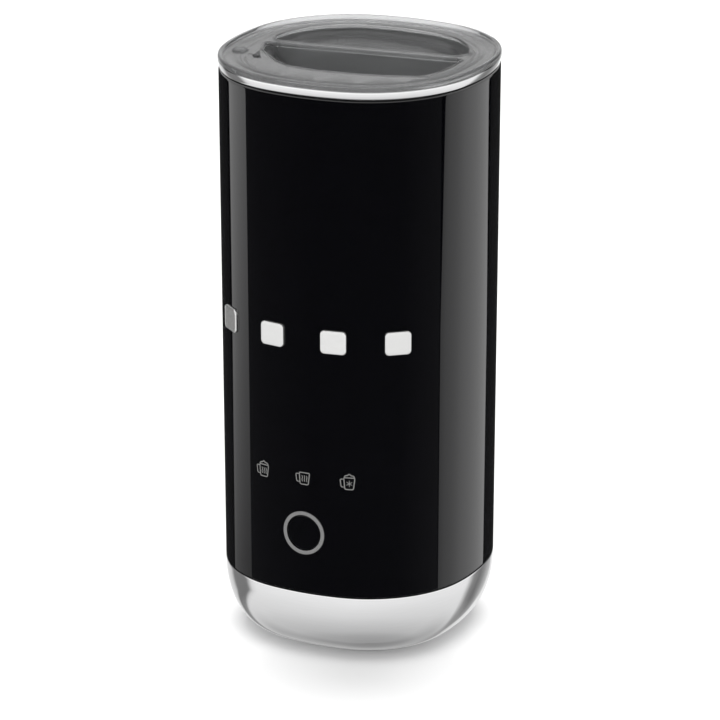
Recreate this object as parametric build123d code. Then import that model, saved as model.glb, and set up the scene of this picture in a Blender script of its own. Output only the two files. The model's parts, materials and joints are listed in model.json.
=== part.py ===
"""Electric milk frother, in millimetres.

+Z is up, the front is -Y, and the origin is the centre of the circle of feet on the table.
The body's plan is a soft square made of eight tangent arcs. Rings round the body are made
from a section whose first coordinate is the distance outside that plan's outline.
"""

from build123d import *
import math
import os

# ---- the body's plan and levels -------------------------------------------------------------
HALF = 48.5                    # half width of the body at its top
SIDE_RADIUS = 1.6615 * HALF    # large arcs on the four sides
CORNER_RADIUS = 0.8434 * HALF  # smaller arcs at the four corners
DRAFT = math.tan(math.radians(0.35))

FOOT = 0.8                     # how far the feet stand out below the base
BASE_TOP = 25.5                # base bowl meets the black shell
BODY_TOP = 210.8               # black shell meets the rim ring
SEAM = 0.36                    # shadow gap at each end of the shell
RIM_TOP = 213.4                # rim ring's top, which the lid rests on
WALL = 2.0                     # shell wall
FIT = 0.25                     # clearance of the button and the seals

# ---- base bowl ------------------------------------------------------------------------------
BOWL_FLAT = 33.4               # half width of the bowl's flat underside
BOWL_WALL = 1.2
LEDGE_HALF = 30.5              # opening that the bottom plate closes
LEDGE_LOW = 2.2
LEDGE_HIGH = 3.2

# ---- milk jug -------------------------------------------------------------------------------
JUG_HALF = 41.5                # inner half width
JUG_WALL = 0.6
JUG_FLOOR = 116.0              # inner floor
JUG_CORNER = 7.0               # inner radius between wall and floor
JUG_FLANGE_HALF = 46.7
JUG_FLANGE_TOP = 212.5
GASKET = 0.5

# ---- lid ------------------------------------------------------------------------------------
LIP_OUT = 0.25                 # lid's overhang past the rim ring
LIP_TOP = 215.7
LIP_WIDTH = 1.7
PLATEAU = 214.5
PLATEAU_UNDER = 212.9
WELL_HALF = 38.6               # half width of the finger wells
WELL_FLOOR = 204.5
WELL_UNDER = 202.7
LID_WALL = 1.8
BLADE_TOP = 214.8
BLADE_HALF_TOP = 2.6           # half thickness of the grip blade
BLADE_HALF_FOOT = 3.4
BLADE_SLOT = 1.0               # half width of the blade's hollow
WELL_INSET = 1.7               # the wells' upper edge lies this far inside their half width
WELL_ROUND = 9.2               # radius that eases the wells' wall into their floor
BLADE_BACK = 4.5               # the blade's middle lies this far behind the axis
BLADE_TURN = 6.4               # the blade's right end is turned to the rear, in degrees
NEAR_EDGE = (                  # the front well's near edge, from the blade's left tip round to the right
    (-39.2, 10.0),
    (-31.7, -9.6),
    (-20.8, -21.0),
    (-14.5, -25.1),
    (-4.6, -26.5),
    (8.1, -25.6),
    (20.0, -23.4),
    (31.3, -19.2),
    (45.0, -6.5),
    (50.0, 10.0),
)
VENT_TURN = -54.6              # direction of the vent slot, in degrees
VENT_AT = (-31.0, -20.0)
VENT_SIZE = (5.0, 2.4)
DOME_AT = (-39.8, -15.2)
DOME_RADIUS = 3.0
DOME_RISE = 1.2
SEAL_Z = 208.0

# ---- button, pictograms and tiles -------------------------------------------------------------
BUTTON_Z = 48.6
RING_OUTER = 8.2
RING_INNER = 6.75
RING_BACK = 44.9               # distance of the ring's rear face in front of the axis
RING_PROUD = 0.12
BUTTON_TRAVEL = 0.8
CAP_SINK = 0.25                # how far the cap's face lies behind the body's surface
CAP_BACK = 44.0                # distance of the cap's rear face in front of the axis
PLUNGER_FRONT = 43.6
PLUNGER_BACK = 41.5
ICON_Z = 69.5
ICON_PITCH = 17.0
ICON_LINE = 0.45
ICON_DEPTH = 0.12
TILE_Z = 121.9
TILE_PITCH = 27.9              # degrees between tiles
TILE_SIZE = (9.6, 8.6)
TILE_DEPTH = 0.9
TILE_CORNER = 1.6

# ---- drive and whisk --------------------------------------------------------------------------
PIN_RADIUS = 1.5
PIN_TOP = 126.0
PIN_CLEARANCE = 0.08
HUB_RADIUS = 12.6
HUB_LOW = 117.2
HUB_HIGH = 123.4
COIL_RADIUS = 15.2
COIL_WIRE = 2.4
COIL_Z = 119.9
MAGNET_CIRCLE = 8.2
MAGNET_RADIUS = 3.4
MAGNET_HEIGHT = 3.6
CARRIER_RADIUS = 16.5
CARRIER_TOP = 114.2
SHAFT_RADIUS = 1.5
SHAFT_CLEARANCE = 0.03
CAN_RADIUS = 14.0
CAN_LOW = 62.0
CAN_HIGH = 95.6
BRACKET_TOP = 97.2
BUSH_RADIUS = 3.5
TAB_X = 10.0                   # the motor's terminal tabs
TAB_LOW = 54.0
SCREW_CIRCLE = 9.0             # the motor's two mounting screws

# ---- heater -----------------------------------------------------------------------------------
PLATE_RADIUS = 34.0
PLATE_HOLE = 18.5
PLATE_THICK = 2.0
ELEMENT_CIRCLE = 24.0
ELEMENT_RADIUS = 3.2
ELEMENT_FLAT = 0.6
ELEMENT_GAP = 60.0             # degrees left open at the back

# ---- chassis and electronics --------------------------------------------------------------------
FRAME_OUT = 44.6
FRAME_IN = 43.0
FRAME_LOW = 28.0
FRAME_HIGH = 124.0
POST = 19.0                    # distance of the four posts from the axis, in X and in Y
POST_RADIUS = 3.5
POST_LOW = 4.0
BOSS_X = 42.6                  # shell bosses and the chassis lugs screwed to them
BOSS_LOW = 43.5
BOSS_RADIUS = 3.3
BOSS_HEIGHT = 16.0
BOSS_BORE = 1.25
BOSS_DEPTH = 12.0
BOARD_Z = 36.0
BOARD = 1.6
BOARD_RADIUS = 37.5
PANEL_Y = -39.0                # front face of the control board
PANEL_HALF = 23.2
PANEL_LOW = 38.0
PANEL_HIGH = 78.0
LEAD_RADIUS = 1.0

# ---- base connector -------------------------------------------------------------------------------
SOCKET_BORE = 14.0
SOCKET_DEPTH = 12.0
SOCKET_OUTER = 17.0
CONTACT_RINGS = ((12.6, 11.2), (9.0, 7.6))
CONTACT_DEPTH = 0.8
CONTACT_PIN = 1.9
TAIL_TOP = 20.8
TAIL_RADIUS = 0.7              # solder tails behind the contact rings
FOOT_CIRCLE = 26.0
FOOT_RADIUS = 4.0
FOOT_TOP = 2.0
SCREW_SEAT = 2.4               # where the base screws' heads meet the bottom plate

SIDE_OFFSET = SIDE_RADIUS - HALF
ARC_GAP = SIDE_RADIUS - CORNER_RADIUS
CORNER_OFFSET = (math.sqrt(2 * ARC_GAP**2 - SIDE_OFFSET**2) - SIDE_OFFSET) / 2
JOIN_ANGLE = math.degrees(math.atan2(CORNER_OFFSET, CORNER_OFFSET + SIDE_OFFSET))


# ---- helpers --------------------------------------------------------------------------------------
def turned(length, degrees):
    """The plan point at this distance and angle from the axis."""
    angle = math.radians(degrees)
    return (length * math.cos(angle), length * math.sin(angle))


def arcs():
    """Centre, radius, start and end angle of the eight arcs of the outline at HALF."""
    found = []
    for quarter in range(4):
        start = 90 * quarter
        side = turned(-SIDE_OFFSET, start)
        corner = turned(CORNER_OFFSET * math.sqrt(2), start + 45)
        found.append((side, SIDE_RADIUS, start - JOIN_ANGLE, start + JOIN_ANGLE))
        found.append((corner, CORNER_RADIUS, start + JOIN_ANGLE, start + 90 - JOIN_ANGLE))
    return found


def outline(half):
    """Face of the soft square with this half width."""
    grow = half - HALF
    return Face(Wire([CenterArc(c, r + grow, a, b - a) for c, r, a, b in arcs()]))


def slab(half, low, high):
    """Solid soft square between two levels."""
    return extrude(Pos(0, 0, low) * outline(half), high - low)


def ring(section):
    """Carries a section, drawn as (distance outside HALF, height), round the outline."""
    wedges = []
    for (x, y), radius, start, end in arcs():
        across = Vector(*turned(1, start), 0)
        plane = Plane(Vector(x, y, 0) + across * radius, x_dir=across, z_dir=(across.Y, -across.X, 0))
        axis = Axis((x, y, 0), (0, 0, 1))
        wedges.append(revolve(plane * section, axis=axis, revolution_arc=end - start))
    return wedges[0].fuse(*wedges[1:])


def band(*points):
    """Ring whose section is a polygon of (half width, height) points."""
    moved = [(half - HALF, height) for half, height in points]
    return ring(Face(Wire(Polyline(*moved, close=True).edges())))


def body_half(z):
    """Half width of the body's outer surface at a height."""
    return HALF - DRAFT * (BODY_TOP - z)


def skin(inner, outer, low, high):
    """Layer of the body between two distances from its outer surface."""
    return band(
        (body_half(low) + inner, low),
        (body_half(low) + outer, low),
        (body_half(high) + outer, high),
        (body_half(high) + inner, high),
    )


def post(radius, low, high, at=(0, 0)):
    """Upright cylinder between two levels."""
    return Pos(at[0], at[1], (low + high) / 2) * Cylinder(radius, high - low)


def tube(outer, inner, low, high, at=(0, 0)):
    """Upright tube between two levels."""
    return post(outer, low, high, at) - post(inner, low - 1, high + 1, at)


def peg(radius, front, back, x=0.0, z=0.0):
    """Cylinder along Y between two distances in front of the axis, front being the larger."""
    middle = (front + back) / 2
    return Pos(x, -middle, z) * Rot(90, 0, 0) * Cylinder(radius, front - back)


def block(x0, x1, y0, y1, z0, z1):
    """Box between two corners."""
    return Pos((x0 + x1) / 2, (y0 + y1) / 2, (z0 + z1) / 2) * Box(x1 - x0, y1 - y0, z1 - z0)


def around(count, radius, start=0.0):
    """Plan points spaced evenly on a circle."""
    return [turned(radius, start + 360 * i / count) for i in range(count)]


def corners(distance):
    """The four plan points at plus and minus this distance in X and in Y."""
    return [(x, y) for x in (-distance, distance) for y in (-distance, distance)]


def joined(pieces):
    """One node of separate solids."""
    return Compound(children=[solid for piece in pieces for solid in piece.solids()])


def screw(shank, length, head, head_height, cross=0.6):
    """Pan-head screw pointing up, head underneath, its head's upper face at height 0."""
    body = post(head, -head_height, 0) + post(shank, 0, length)
    slot = block(-head * 0.6, head * 0.6, -cross / 2, cross / 2, -head_height, -head_height * 0.45)
    return body - slot - Rot(0, 0, 90) * slot


def lead(points, radius=LEAD_RADIUS, bend=4.0):
    """Insulated wire along straight runs joined by arcs."""
    path = FilletPolyline(*points, radius=bend)
    return sweep(Plane(path @ 0, z_dir=path % 0) * Circle(radius), path=path)


# ---- outside ----------------------------------------------------------------------------------------
def outer_shell():
    """Black skin, with the button hole, rounded ends and two screw bosses inside."""
    low, high, soft, crown = BASE_TOP + SEAM, BODY_TOP - SEAM, 0.4, 0.9
    low_half, high_half = body_half(low), body_half(high)
    shell = band(
        (low_half - WALL, low),
        (low_half - soft, low),
        (low_half, low + soft),
        (high_half, high - crown),
        (high_half - 0.3 * crown, high - 0.3 * crown),
        (high_half - crown, high),
        (high_half - WALL, high),
    )
    for side in (-1, 1):
        at = (side * BOSS_X, 0)
        boss = post(BOSS_RADIUS, BOSS_LOW, BOSS_LOW + BOSS_HEIGHT, at)
        shell = shell + boss - post(BOSS_BORE, BOSS_LOW - 1, BOSS_LOW + BOSS_DEPTH, at)
    return shell - peg(RING_OUTER, 50, 40, z=BUTTON_Z)


def chrome_base():
    """Metal bowl: a quarter ellipse in section, with an inner ledge for the bottom plate."""
    top = BASE_TOP
    start = BOWL_FLAT - HALF
    wide = body_half(BASE_TOP) - BOWL_FLAT
    outer = EllipticalCenterArc((start, top), wide, top - FOOT, start_angle=-90, arc_size=90)
    narrow = wide - BOWL_WALL
    inner = EllipticalCenterArc((start, top), narrow, top - LEDGE_HIGH, start_angle=-90, arc_size=90)
    rim = Line((start + wide, top), (start + narrow, top))
    ledge = Polyline(
        (start, LEDGE_HIGH),
        (LEDGE_HALF - HALF, LEDGE_HIGH),
        (LEDGE_HALF - HALF, LEDGE_LOW),
        (start, LEDGE_LOW),
        (start, FOOT),
    )
    return ring(Face(Wire([*outer.edges(), *rim.edges(), *inner.edges(), *ledge.edges()])))


def rim_ring():
    """Metal ring round the mouth: it seats the jug's flange and centres the lid."""
    step = JUG_FLANGE_TOP - JUG_WALL - GASKET
    return band(
        (HALF - 3.9, BODY_TOP - 5.5),
        (HALF - 2.2, BODY_TOP - 5.5),
        (HALF - 2.2, BODY_TOP),
        (HALF, BODY_TOP),
        (HALF, RIM_TOP - 0.3),
        (HALF - 0.3, RIM_TOP),
        (JUG_FLANGE_HALF + 0.3, RIM_TOP),
        (JUG_FLANGE_HALF + 0.3, step),
        (HALF - 3.9, step),
    )


def bottom_plate():
    """Black cover in the bowl's mouth, with feet recesses, screw pockets and the socket hole."""
    plate = slab(BOWL_FLAT - FIT, FOOT, LEDGE_LOW) + slab(LEDGE_HALF - FIT, LEDGE_LOW, POST_LOW)
    plate = plate - post(SOCKET_OUTER + 0.2, 0, POST_LOW + 1)
    for at in corners(POST):
        plate = plate - post(3.2, 0, SCREW_SEAT, at) - post(1.7, 0, POST_LOW + 1, at)
    for at in around(4, FOOT_CIRCLE):
        plate = plate - post(FOOT_RADIUS, 0, FOOT_TOP, at)
    return plate


def rubber_feet():
    """Four rubber pads pressed into the bottom plate."""
    return joined([post(FOOT_RADIUS, 0, FOOT_TOP, at) for at in around(4, FOOT_CIRCLE)])


def base_screws():
    """Four screws that hold the bottom plate to the chassis posts."""
    return joined([Pos(*at, SCREW_SEAT) * screw(1.3, 12, 2.9, 1.4) for at in corners(POST)])


def connector_socket():
    """Housing of the round base connector: a blind bore from below, with a flange on the plate."""
    top = FOOT + SOCKET_DEPTH
    body = post(SOCKET_OUTER, FOOT, top + 3) + post(SOCKET_OUTER + 4, POST_LOW, POST_LOW + 1.6)
    body = body - post(SOCKET_BORE, 0, top)
    for outer, inner in CONTACT_RINGS:
        middle = (outer + inner) / 2
        body = body - tube(outer, inner, top, top + CONTACT_DEPTH)
        body = body - post(TAIL_RADIUS + 0.3, top, top + 4, (0, middle))
    return body - post(CONTACT_PIN, top - 1, top + 4)


def contact_rings():
    """Two flush contact rings and the middle contact, each with a solder tail."""
    top = FOOT + SOCKET_DEPTH
    pieces = []
    for outer, inner in CONTACT_RINGS:
        flat = tube(outer, inner, top, top + CONTACT_DEPTH)
        pieces.append(flat + post(TAIL_RADIUS, top + 0.4, TAIL_TOP, (0, (outer + inner) / 2)))
    cup = post(CONTACT_PIN, top, top + 3) - post(1.1, top - 1, top + 2)
    pieces.append(cup + post(TAIL_RADIUS, top + 2, TAIL_TOP))
    return joined(pieces)


# ---- button, pictograms, tiles -----------------------------------------------------------------------
def button_ring():
    """Metal ring round the button, following the body's surface."""
    whole = peg(RING_OUTER, 50, RING_BACK, z=BUTTON_Z) - peg(RING_INNER, 51, 40, z=BUTTON_Z)
    return whole & skin(-8, RING_PROUD, BUTTON_Z - 12, BUTTON_Z + 12)


def button_cap():
    """Round push button with a retaining flange and a stem."""
    face = peg(RING_INNER - FIT, 50, CAP_BACK, z=BUTTON_Z)
    face = face & skin(-8, -CAP_SINK, BUTTON_Z - 12, BUTTON_Z + 12)
    flange = peg(RING_INNER + 0.6, RING_BACK - 0.05, CAP_BACK, z=BUTTON_Z)
    stem = peg(2.0, CAP_BACK, PLUNGER_FRONT, z=BUTTON_Z)
    return face + flange + stem


def stroke(*points):
    """Face of a drawn line through these points."""
    return trace(Polyline(*points), ICON_LINE)


def cup_lines(foam):
    """Cup outline with its handle at the left, and a foam dome if asked."""
    cup = [
        (-1.45, 2.2),
        (-1.25, -1.75),
        (-0.8, -2.2),
        (1.75, -2.2),
        (2.2, -1.75),
        (2.6, 2.2),
        (-1.5, 2.2),
    ]
    handle = [(-1.45, 1.6), (-2.4, 1.6), (-2.75, 1.2), (-2.5, -0.9), (-2.0, -1.35), (-1.3, -1.35)]
    dome = [(-1.3, 2.2), (-0.6, 3.0), (0.0, 3.1), (0.55, 3.45), (1.1, 3.1), (1.7, 3.0), (2.4, 2.2)]
    shapes = [cup, handle, dome] if foam else [cup, handle]
    return [stroke(*shape) for shape in shapes]


def heat_lines():
    """Three wavy lines."""
    wave = ((0.0, 1.1), (0.25, 0.4), (0.0, -0.3), (0.25, -1.1))
    return [stroke(*[(start + x, y) for x, y in wave]) for start in (-0.55, 0.45, 1.45)]


def snow_lines():
    """Three crossed bars."""
    bars = []
    for degrees in (30, 90, 150):
        x, y = turned(1.2, degrees)
        bars.append(stroke((0.55 - x, -y), (0.55 + x, y)))
    return bars


def mode_icons():
    """Three raised printed pictograms: hot foam, hot milk, cold foam."""
    layer = skin(0.0, ICON_DEPTH, ICON_Z - 6, ICON_Z + 6)
    pieces = []
    kinds = ((-1, True, heat_lines()), (0, False, heat_lines()), (1, True, snow_lines()))
    for place, foam, lines in kinds:
        front = Plane((place * ICON_PITCH, -36, ICON_Z), x_dir=(1, 0, 0), z_dir=(0, -1, 0))
        for line in (sum(cup_lines(foam), Sketch()), sum(lines, Sketch())):
            pieces.append(extrude(front * line, 16) & layer)
    return joined(pieces)


def surface_spot(degrees, z):
    """Point of the body's surface at this angle right of the front, and its outward direction."""
    angle = degrees - 90
    for (x, y), radius, start, end in arcs():
        reach = radius + body_half(z) - HALF
        toward = Vector(*turned(1, angle), 0)
        along = toward.X * x + toward.Y * y
        spot = toward * (along + math.sqrt(along**2 - x**2 - y**2 + reach**2))
        out = Vector(spot.X - x, spot.Y - y, 0).normalized()
        heading = math.degrees(math.atan2(out.Y, out.X))
        if (heading - start) % 360 <= end - start + 0.001:
            return Vector(spot.X, spot.Y, z), out
    raise ValueError(degrees)


def badge_tiles():
    """Four plain raised metal tiles in a row round the front."""
    layer = skin(0.005, TILE_DEPTH, TILE_Z - 8, TILE_Z + 8)
    pieces = []
    for i in range(4):
        spot, out = surface_spot(TILE_PITCH * (i - 1.5), TILE_Z)
        plane = Plane(spot - out * 4, x_dir=(-out.Y, out.X, 0), z_dir=out)
        pieces.append(extrude(plane * RectangleRounded(*TILE_SIZE, TILE_CORNER), 8) & layer)
    return joined(pieces)


# ---- jug and lid --------------------------------------------------------------------------------------
def jug():
    """Drawn steel jug: flange, straight wall, rounded floor corner and flat floor."""
    wall, floor = JUG_HALF - HALF, JUG_FLOOR
    bend = wall - JUG_CORNER
    inside = [
        Line((JUG_FLANGE_HALF - HALF, JUG_FLANGE_TOP), (wall, JUG_FLANGE_TOP)),
        Line((wall, JUG_FLANGE_TOP), (wall, floor + JUG_CORNER)),
        CenterArc((bend, floor + JUG_CORNER), JUG_CORNER, 0, -90),
        Line((bend, floor), (bend - 4, floor)),
    ]
    outside = [
        Line((bend - 4, floor), (bend - 4, floor - JUG_WALL)),
        Line((bend - 4, floor - JUG_WALL), (bend, floor - JUG_WALL)),
        CenterArc((bend, floor + JUG_CORNER), JUG_CORNER + JUG_WALL, -90, 90),
        Polyline(
            (wall + JUG_WALL, floor + JUG_CORNER),
            (wall + JUG_WALL, JUG_FLANGE_TOP - JUG_WALL),
            (JUG_FLANGE_HALF - HALF, JUG_FLANGE_TOP - JUG_WALL),
            (JUG_FLANGE_HALF - HALF, JUG_FLANGE_TOP),
        ),
    ]
    side = ring(Face(Wire([edge for piece in inside + outside for edge in piece.edges()])))
    return side + slab(JUG_HALF - JUG_CORNER - 3.9, floor - JUG_WALL, floor)


def jug_gasket():
    """Silicone ring between the jug's flange and the rim ring's seat."""
    top = JUG_FLANGE_TOP - JUG_WALL
    return band(
        (HALF - 3.8, top - GASKET),
        (JUG_FLANGE_HALF, top - GASKET),
        (JUG_FLANGE_HALF, top),
        (HALF - 3.8, top),
    )


def past_land(wall=0.0):
    """Everything beyond the front well's near edge, starting this far outside it."""
    well = Polygon(*NEAR_EDGE, align=None)
    if wall:
        well = offset(well, wall, kind=Kind.INTERSECTION)
    return block(-60, 60, -60, 8, WELL_UNDER - 2, LIP_TOP) - extrude(Pos(0, 0, WELL_UNDER - 3) * well, 20)


def lid_ring():
    """Lid's lip, plateau and the outer wall of the wells."""
    well, lip_in = WELL_HALF - HALF, LIP_OUT - LIP_WIDTH
    crown = LIP_WIDTH / 2
    edge, skirt = well - WELL_INSET, well - 0.3
    turn = edge - WELL_ROUND
    outer = WELL_ROUND + LID_WALL
    sweep = math.degrees(math.asin((skirt - turn) / outer))
    edges = [
        Polyline((LIP_OUT, RIM_TOP), (LIP_OUT, LIP_TOP - crown)),
        CenterArc((LIP_OUT - crown, LIP_TOP - crown), crown, 0, 180),
        Polyline((lip_in, LIP_TOP - crown), (lip_in - 0.3, PLATEAU), (edge + 0.8, PLATEAU)),
        CenterArc((edge + 0.8, PLATEAU - 0.8), 0.8, 90, 90),
        CenterArc((turn, WELL_FLOOR + WELL_ROUND), WELL_ROUND, 270, 90),
        Polyline((turn, WELL_FLOOR), (turn - 0.1, WELL_FLOOR), (turn - 0.1, WELL_UNDER), (turn, WELL_UNDER)),
        CenterArc((turn, WELL_FLOOR + WELL_ROUND), outer, 270, sweep),
        Polyline(
            (skirt, WELL_FLOOR + WELL_ROUND - outer * math.cos(math.radians(sweep))),
            (skirt, WELL_UNDER),
            (well + LID_WALL - 2.0, WELL_UNDER),
            (well + LID_WALL - 0.8, WELL_UNDER + 1.6),
            (well + LID_WALL - 0.4, SEAL_Z - 1.2),
            (well + LID_WALL - 1.1, SEAL_Z - 1.2),
            (well + LID_WALL - 1.1, SEAL_Z + 1.2),
            (well + LID_WALL - 0.2, SEAL_Z + 1.2),
            (well + LID_WALL, PLATEAU_UNDER),
            (JUG_FLANGE_HALF - 0.1 - HALF, PLATEAU_UNDER),
            (JUG_FLANGE_HALF - 0.1 - HALF, RIM_TOP),
            (LIP_OUT, RIM_TOP),
        ),
    ]
    return ring(Face(Wire([edge for piece in edges for edge in piece.edges()])))


def grip_blade():
    """Hollow blade across the wells, open underneath."""
    foot, top = (BLADE_HALF_FOOT, WELL_UNDER), (BLADE_HALF_TOP, BLADE_TOP)
    sides = [(-foot[0], foot[1]), foot, top, (-top[0], top[1])]
    profile = Plane.YZ * Face(Wire(Polyline(*sides, close=True).edges()))
    bar = extrude(profile, HALF, both=True)
    hollow = block(-33, 33, -BLADE_SLOT, BLADE_SLOT, WELL_UNDER - 1, BLADE_TOP - LID_WALL)
    blade = Pos(0, BLADE_BACK, 0) * Rot(0, 0, BLADE_TURN) * (bar - hollow)
    return blade & slab(WELL_HALF + 0.4, WELL_UNDER, BLADE_TOP + 1)


def lid():
    """Clear lid: lip, plateau, two finger wells, grip blade and steam vent."""
    floor = slab(WELL_HALF - WELL_INSET - WELL_ROUND - 0.05, WELL_UNDER, WELL_FLOOR)
    front = slab(WELL_HALF + 0.3, WELL_UNDER, PLATEAU)
    front = front & block(-60, 60, -60, 0, WELL_UNDER - 1, PLATEAU + 1)
    land = front & past_land()
    hollow = slab(WELL_HALF - 0.3, WELL_UNDER - 1, PLATEAU_UNDER) & past_land(LID_WALL)
    hollow = hollow & block(-60, 60, -60, -BLADE_HALF_FOOT, WELL_UNDER - 2, PLATEAU_UNDER)
    whole = lid_ring() + floor + grip_blade() + land - hollow
    vent = Pos(*VENT_AT, PLATEAU) * Rot(0, 0, VENT_TURN) * Box(*VENT_SIZE, 8)
    ball = (DOME_RADIUS**2 + DOME_RISE**2) / (2 * DOME_RISE)
    dome = Pos(*DOME_AT, PLATEAU + DOME_RISE - ball) * Sphere(ball)
    dome = dome & post(DOME_RADIUS, PLATEAU - 0.5, PLATEAU + 4, DOME_AT)
    return whole - vent + dome


def lid_seal():
    """Silicone ring in the lid's groove, just clear of the jug's wall."""
    root = WELL_HALF + LID_WALL - 1.1
    return band(
        (root, SEAL_Z - 1.1),
        (JUG_HALF - FIT - 0.5, SEAL_Z - 1.1),
        (JUG_HALF - FIT, SEAL_Z - 0.4),
        (JUG_HALF - FIT, SEAL_Z + 0.4),
        (JUG_HALF - FIT - 0.5, SEAL_Z + 1.1),
        (root, SEAL_Z + 1.1),
    )


# ---- whisk ------------------------------------------------------------------------------------------
def spindle():
    """Pin on the jug's floor that the whisk turns on."""
    pin = post(4.0, JUG_FLOOR, JUG_FLOOR + 1) + post(PIN_RADIUS, JUG_FLOOR + 1, PIN_TOP)
    return fillet(pin.edges().sort_by(Axis.Z)[-1], 0.6)


def coil_ring(extra=0.0):
    """Ring of the whisk spring's outer size."""
    return Pos(0, 0, COIL_Z) * Torus(COIL_RADIUS, COIL_WIRE + extra)


def whisk_hub():
    """Moulded hub with a bore for the pin, a groove for the spring and two magnet pockets."""
    hub = post(HUB_RADIUS, HUB_LOW, COIL_Z + 1.2) + post(9.0, COIL_Z + 1.2, HUB_HIGH)
    hub = hub + post(4.2, HUB_HIGH, PIN_TOP + 1.6)
    hub = hub - coil_ring(0.04) - post(PIN_RADIUS + PIN_CLEARANCE, HUB_LOW - 1, PIN_TOP + 0.4)
    for at in around(2, MAGNET_CIRCLE):
        hub = hub - post(MAGNET_RADIUS, HUB_LOW - 1, HUB_LOW + MAGNET_HEIGHT, at)
    return hub


def whisk_magnets():
    """Two round magnets in the hub's underside."""
    top = HUB_LOW + MAGNET_HEIGHT
    return joined([post(MAGNET_RADIUS, HUB_LOW, top, at) for at in around(2, MAGNET_CIRCLE)])


# ---- heater -----------------------------------------------------------------------------------------
HEATER_TOP = JUG_FLOOR - JUG_WALL
HEATER_LOW = HEATER_TOP - PLATE_THICK
ELEMENT_Z = HEATER_LOW - ELEMENT_RADIUS + ELEMENT_FLAT
TERMINAL_LOW = ELEMENT_Z - 8
SENSOR_X = 30.6
STRAP = 0.5                    # thickness of the clamp's strip


def heater_plate():
    """Aluminium ring plate pressed to the jug's floor."""
    return tube(PLATE_RADIUS, PLATE_HOLE, HEATER_LOW, HEATER_TOP)


def heater_element():
    """Tubular element, flattened where it meets the plate, with two terminals."""
    section = Pos(ELEMENT_CIRCLE, 0) * Circle(ELEMENT_RADIUS)
    section = section - Pos(ELEMENT_CIRCLE, ELEMENT_RADIUS + 1 - ELEMENT_FLAT) * Rectangle(10, 2)
    bend = Plane((0, 0, ELEMENT_Z), x_dir=(1, 0, 0), z_dir=(0, -1, 0)) * section
    bar = revolve(bend, axis=Axis.Z, revolution_arc=360 - ELEMENT_GAP)
    bar = Rot(0, 0, 90 + ELEMENT_GAP / 2) * bar
    for side in (-1, 1):
        at = turned(ELEMENT_CIRCLE, 90 + side * (ELEMENT_GAP / 2 + 4))
        bar = bar + post(1.2, TERMINAL_LOW, ELEMENT_Z, at)
    return bar


def thermostat():
    """Snap-disc thermostat in the element's gap."""
    at = (0, ELEMENT_CIRCLE)
    can = post(6.0, HEATER_LOW - 7, HEATER_LOW, at) + post(7.5, HEATER_LOW - 1.2, HEATER_LOW, at)
    for side in (-1, 1):
        tab = Pos(side * 3.4, at[1], HEATER_LOW - 9.5) * Box(2.8, 0.8, 5)
        can = can + tab
    return can


def thermal_fuse():
    """One-shot thermal fuse strapped under the plate's edge."""
    place = Pos(-SENSOR_X, -2, HEATER_LOW - 1.9) * Rot(90, 0, 0)
    return place * Cylinder(1.9, 11) + place * Cylinder(0.5, 19)


def temperature_sensor():
    """Bead sensor under the plate's edge, with its lug."""
    bead = post(2.0, HEATER_LOW - 5, HEATER_LOW, (SENSOR_X, -2))
    return bead + block(SENSOR_X - 1.8, SENSOR_X + 1.8, -9, 5, HEATER_LOW - 0.8, HEATER_LOW)


def element_clamp():
    """Spring straps that hold the sensor and the fuse to the plate."""
    straps = []
    for middle, drop in ((-SENSOR_X, 3.8), (SENSOR_X, 5.0)):
        low = HEATER_LOW - drop - 0.1 - STRAP
        strap = block(middle - 2.8, middle + 2.8, -4, 0, low, low + STRAP)
        for leg in (middle - 2.55, middle + 2.55):
            strap = strap + block(leg - STRAP / 2, leg + STRAP / 2, -4, 0, low, HEATER_LOW)
        straps.append(strap)
    return joined(straps)


# ---- motor ------------------------------------------------------------------------------------------
def motor_can():
    """Steel can with a nose for the upper bush."""
    can = post(CAN_RADIUS, CAN_LOW, CAN_HIGH) + post(5.0, CAN_HIGH, CAN_HIGH + 2.4)
    can = can - post(CAN_RADIUS - 1.2, CAN_LOW - 1, CAN_HIGH - 1.4)
    can = can - post(BUSH_RADIUS, CAN_LOW, CAN_HIGH + 3)
    for at in around(2, SCREW_CIRCLE, 90):
        can = can - post(1.05, CAN_HIGH - 3, CAN_HIGH + 1, at)
    return can


def motor_end_cap():
    """Moulded end cap with the lower bush's pocket and two terminals' slots."""
    cap = post(CAN_RADIUS, CAN_LOW - 3, CAN_LOW) + post(CAN_RADIUS - 1.3, CAN_LOW, CAN_LOW + 2)
    cap = cap + post(5.0, CAN_LOW - 4.5, CAN_LOW - 3)
    cap = cap - post(BUSH_RADIUS, CAN_LOW - 5, CAN_LOW + 3)
    for side in (-1, 1):
        cap = cap - block(side * TAB_X - 1.5, side * TAB_X + 1.5, -0.4, 0.4, CAN_LOW - 5, CAN_LOW + 3)
    return cap


def motor_terminals():
    """Two brass tabs through the end cap."""
    return joined([block(x - 1.5, x + 1.5, -0.4, 0.4, TAB_LOW, CAN_LOW + 2) for x in (-TAB_X, TAB_X)])


def shaft_bushes():
    """Sintered bushes at both ends of the motor."""
    hole = SHAFT_RADIUS + SHAFT_CLEARANCE
    lower = tube(BUSH_RADIUS, hole, CAN_LOW - 4.5, CAN_LOW)
    return joined([lower, tube(BUSH_RADIUS, hole, CAN_HIGH - 1.4, CAN_HIGH + 2.4)])


def stator_magnets():
    """Two curved magnets inside the can."""
    whole = tube(CAN_RADIUS - 1.2, CAN_RADIUS - 3.6, CAN_LOW + 4, CAN_HIGH - 4)
    return joined([whole - block(-20, 20, -3, 3, CAN_LOW, CAN_HIGH)])


def motor_shaft():
    """Shaft from below the end cap up to the magnet carrier."""
    return post(SHAFT_RADIUS, CAN_LOW - 3.5, CARRIER_TOP - 4.4)


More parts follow.
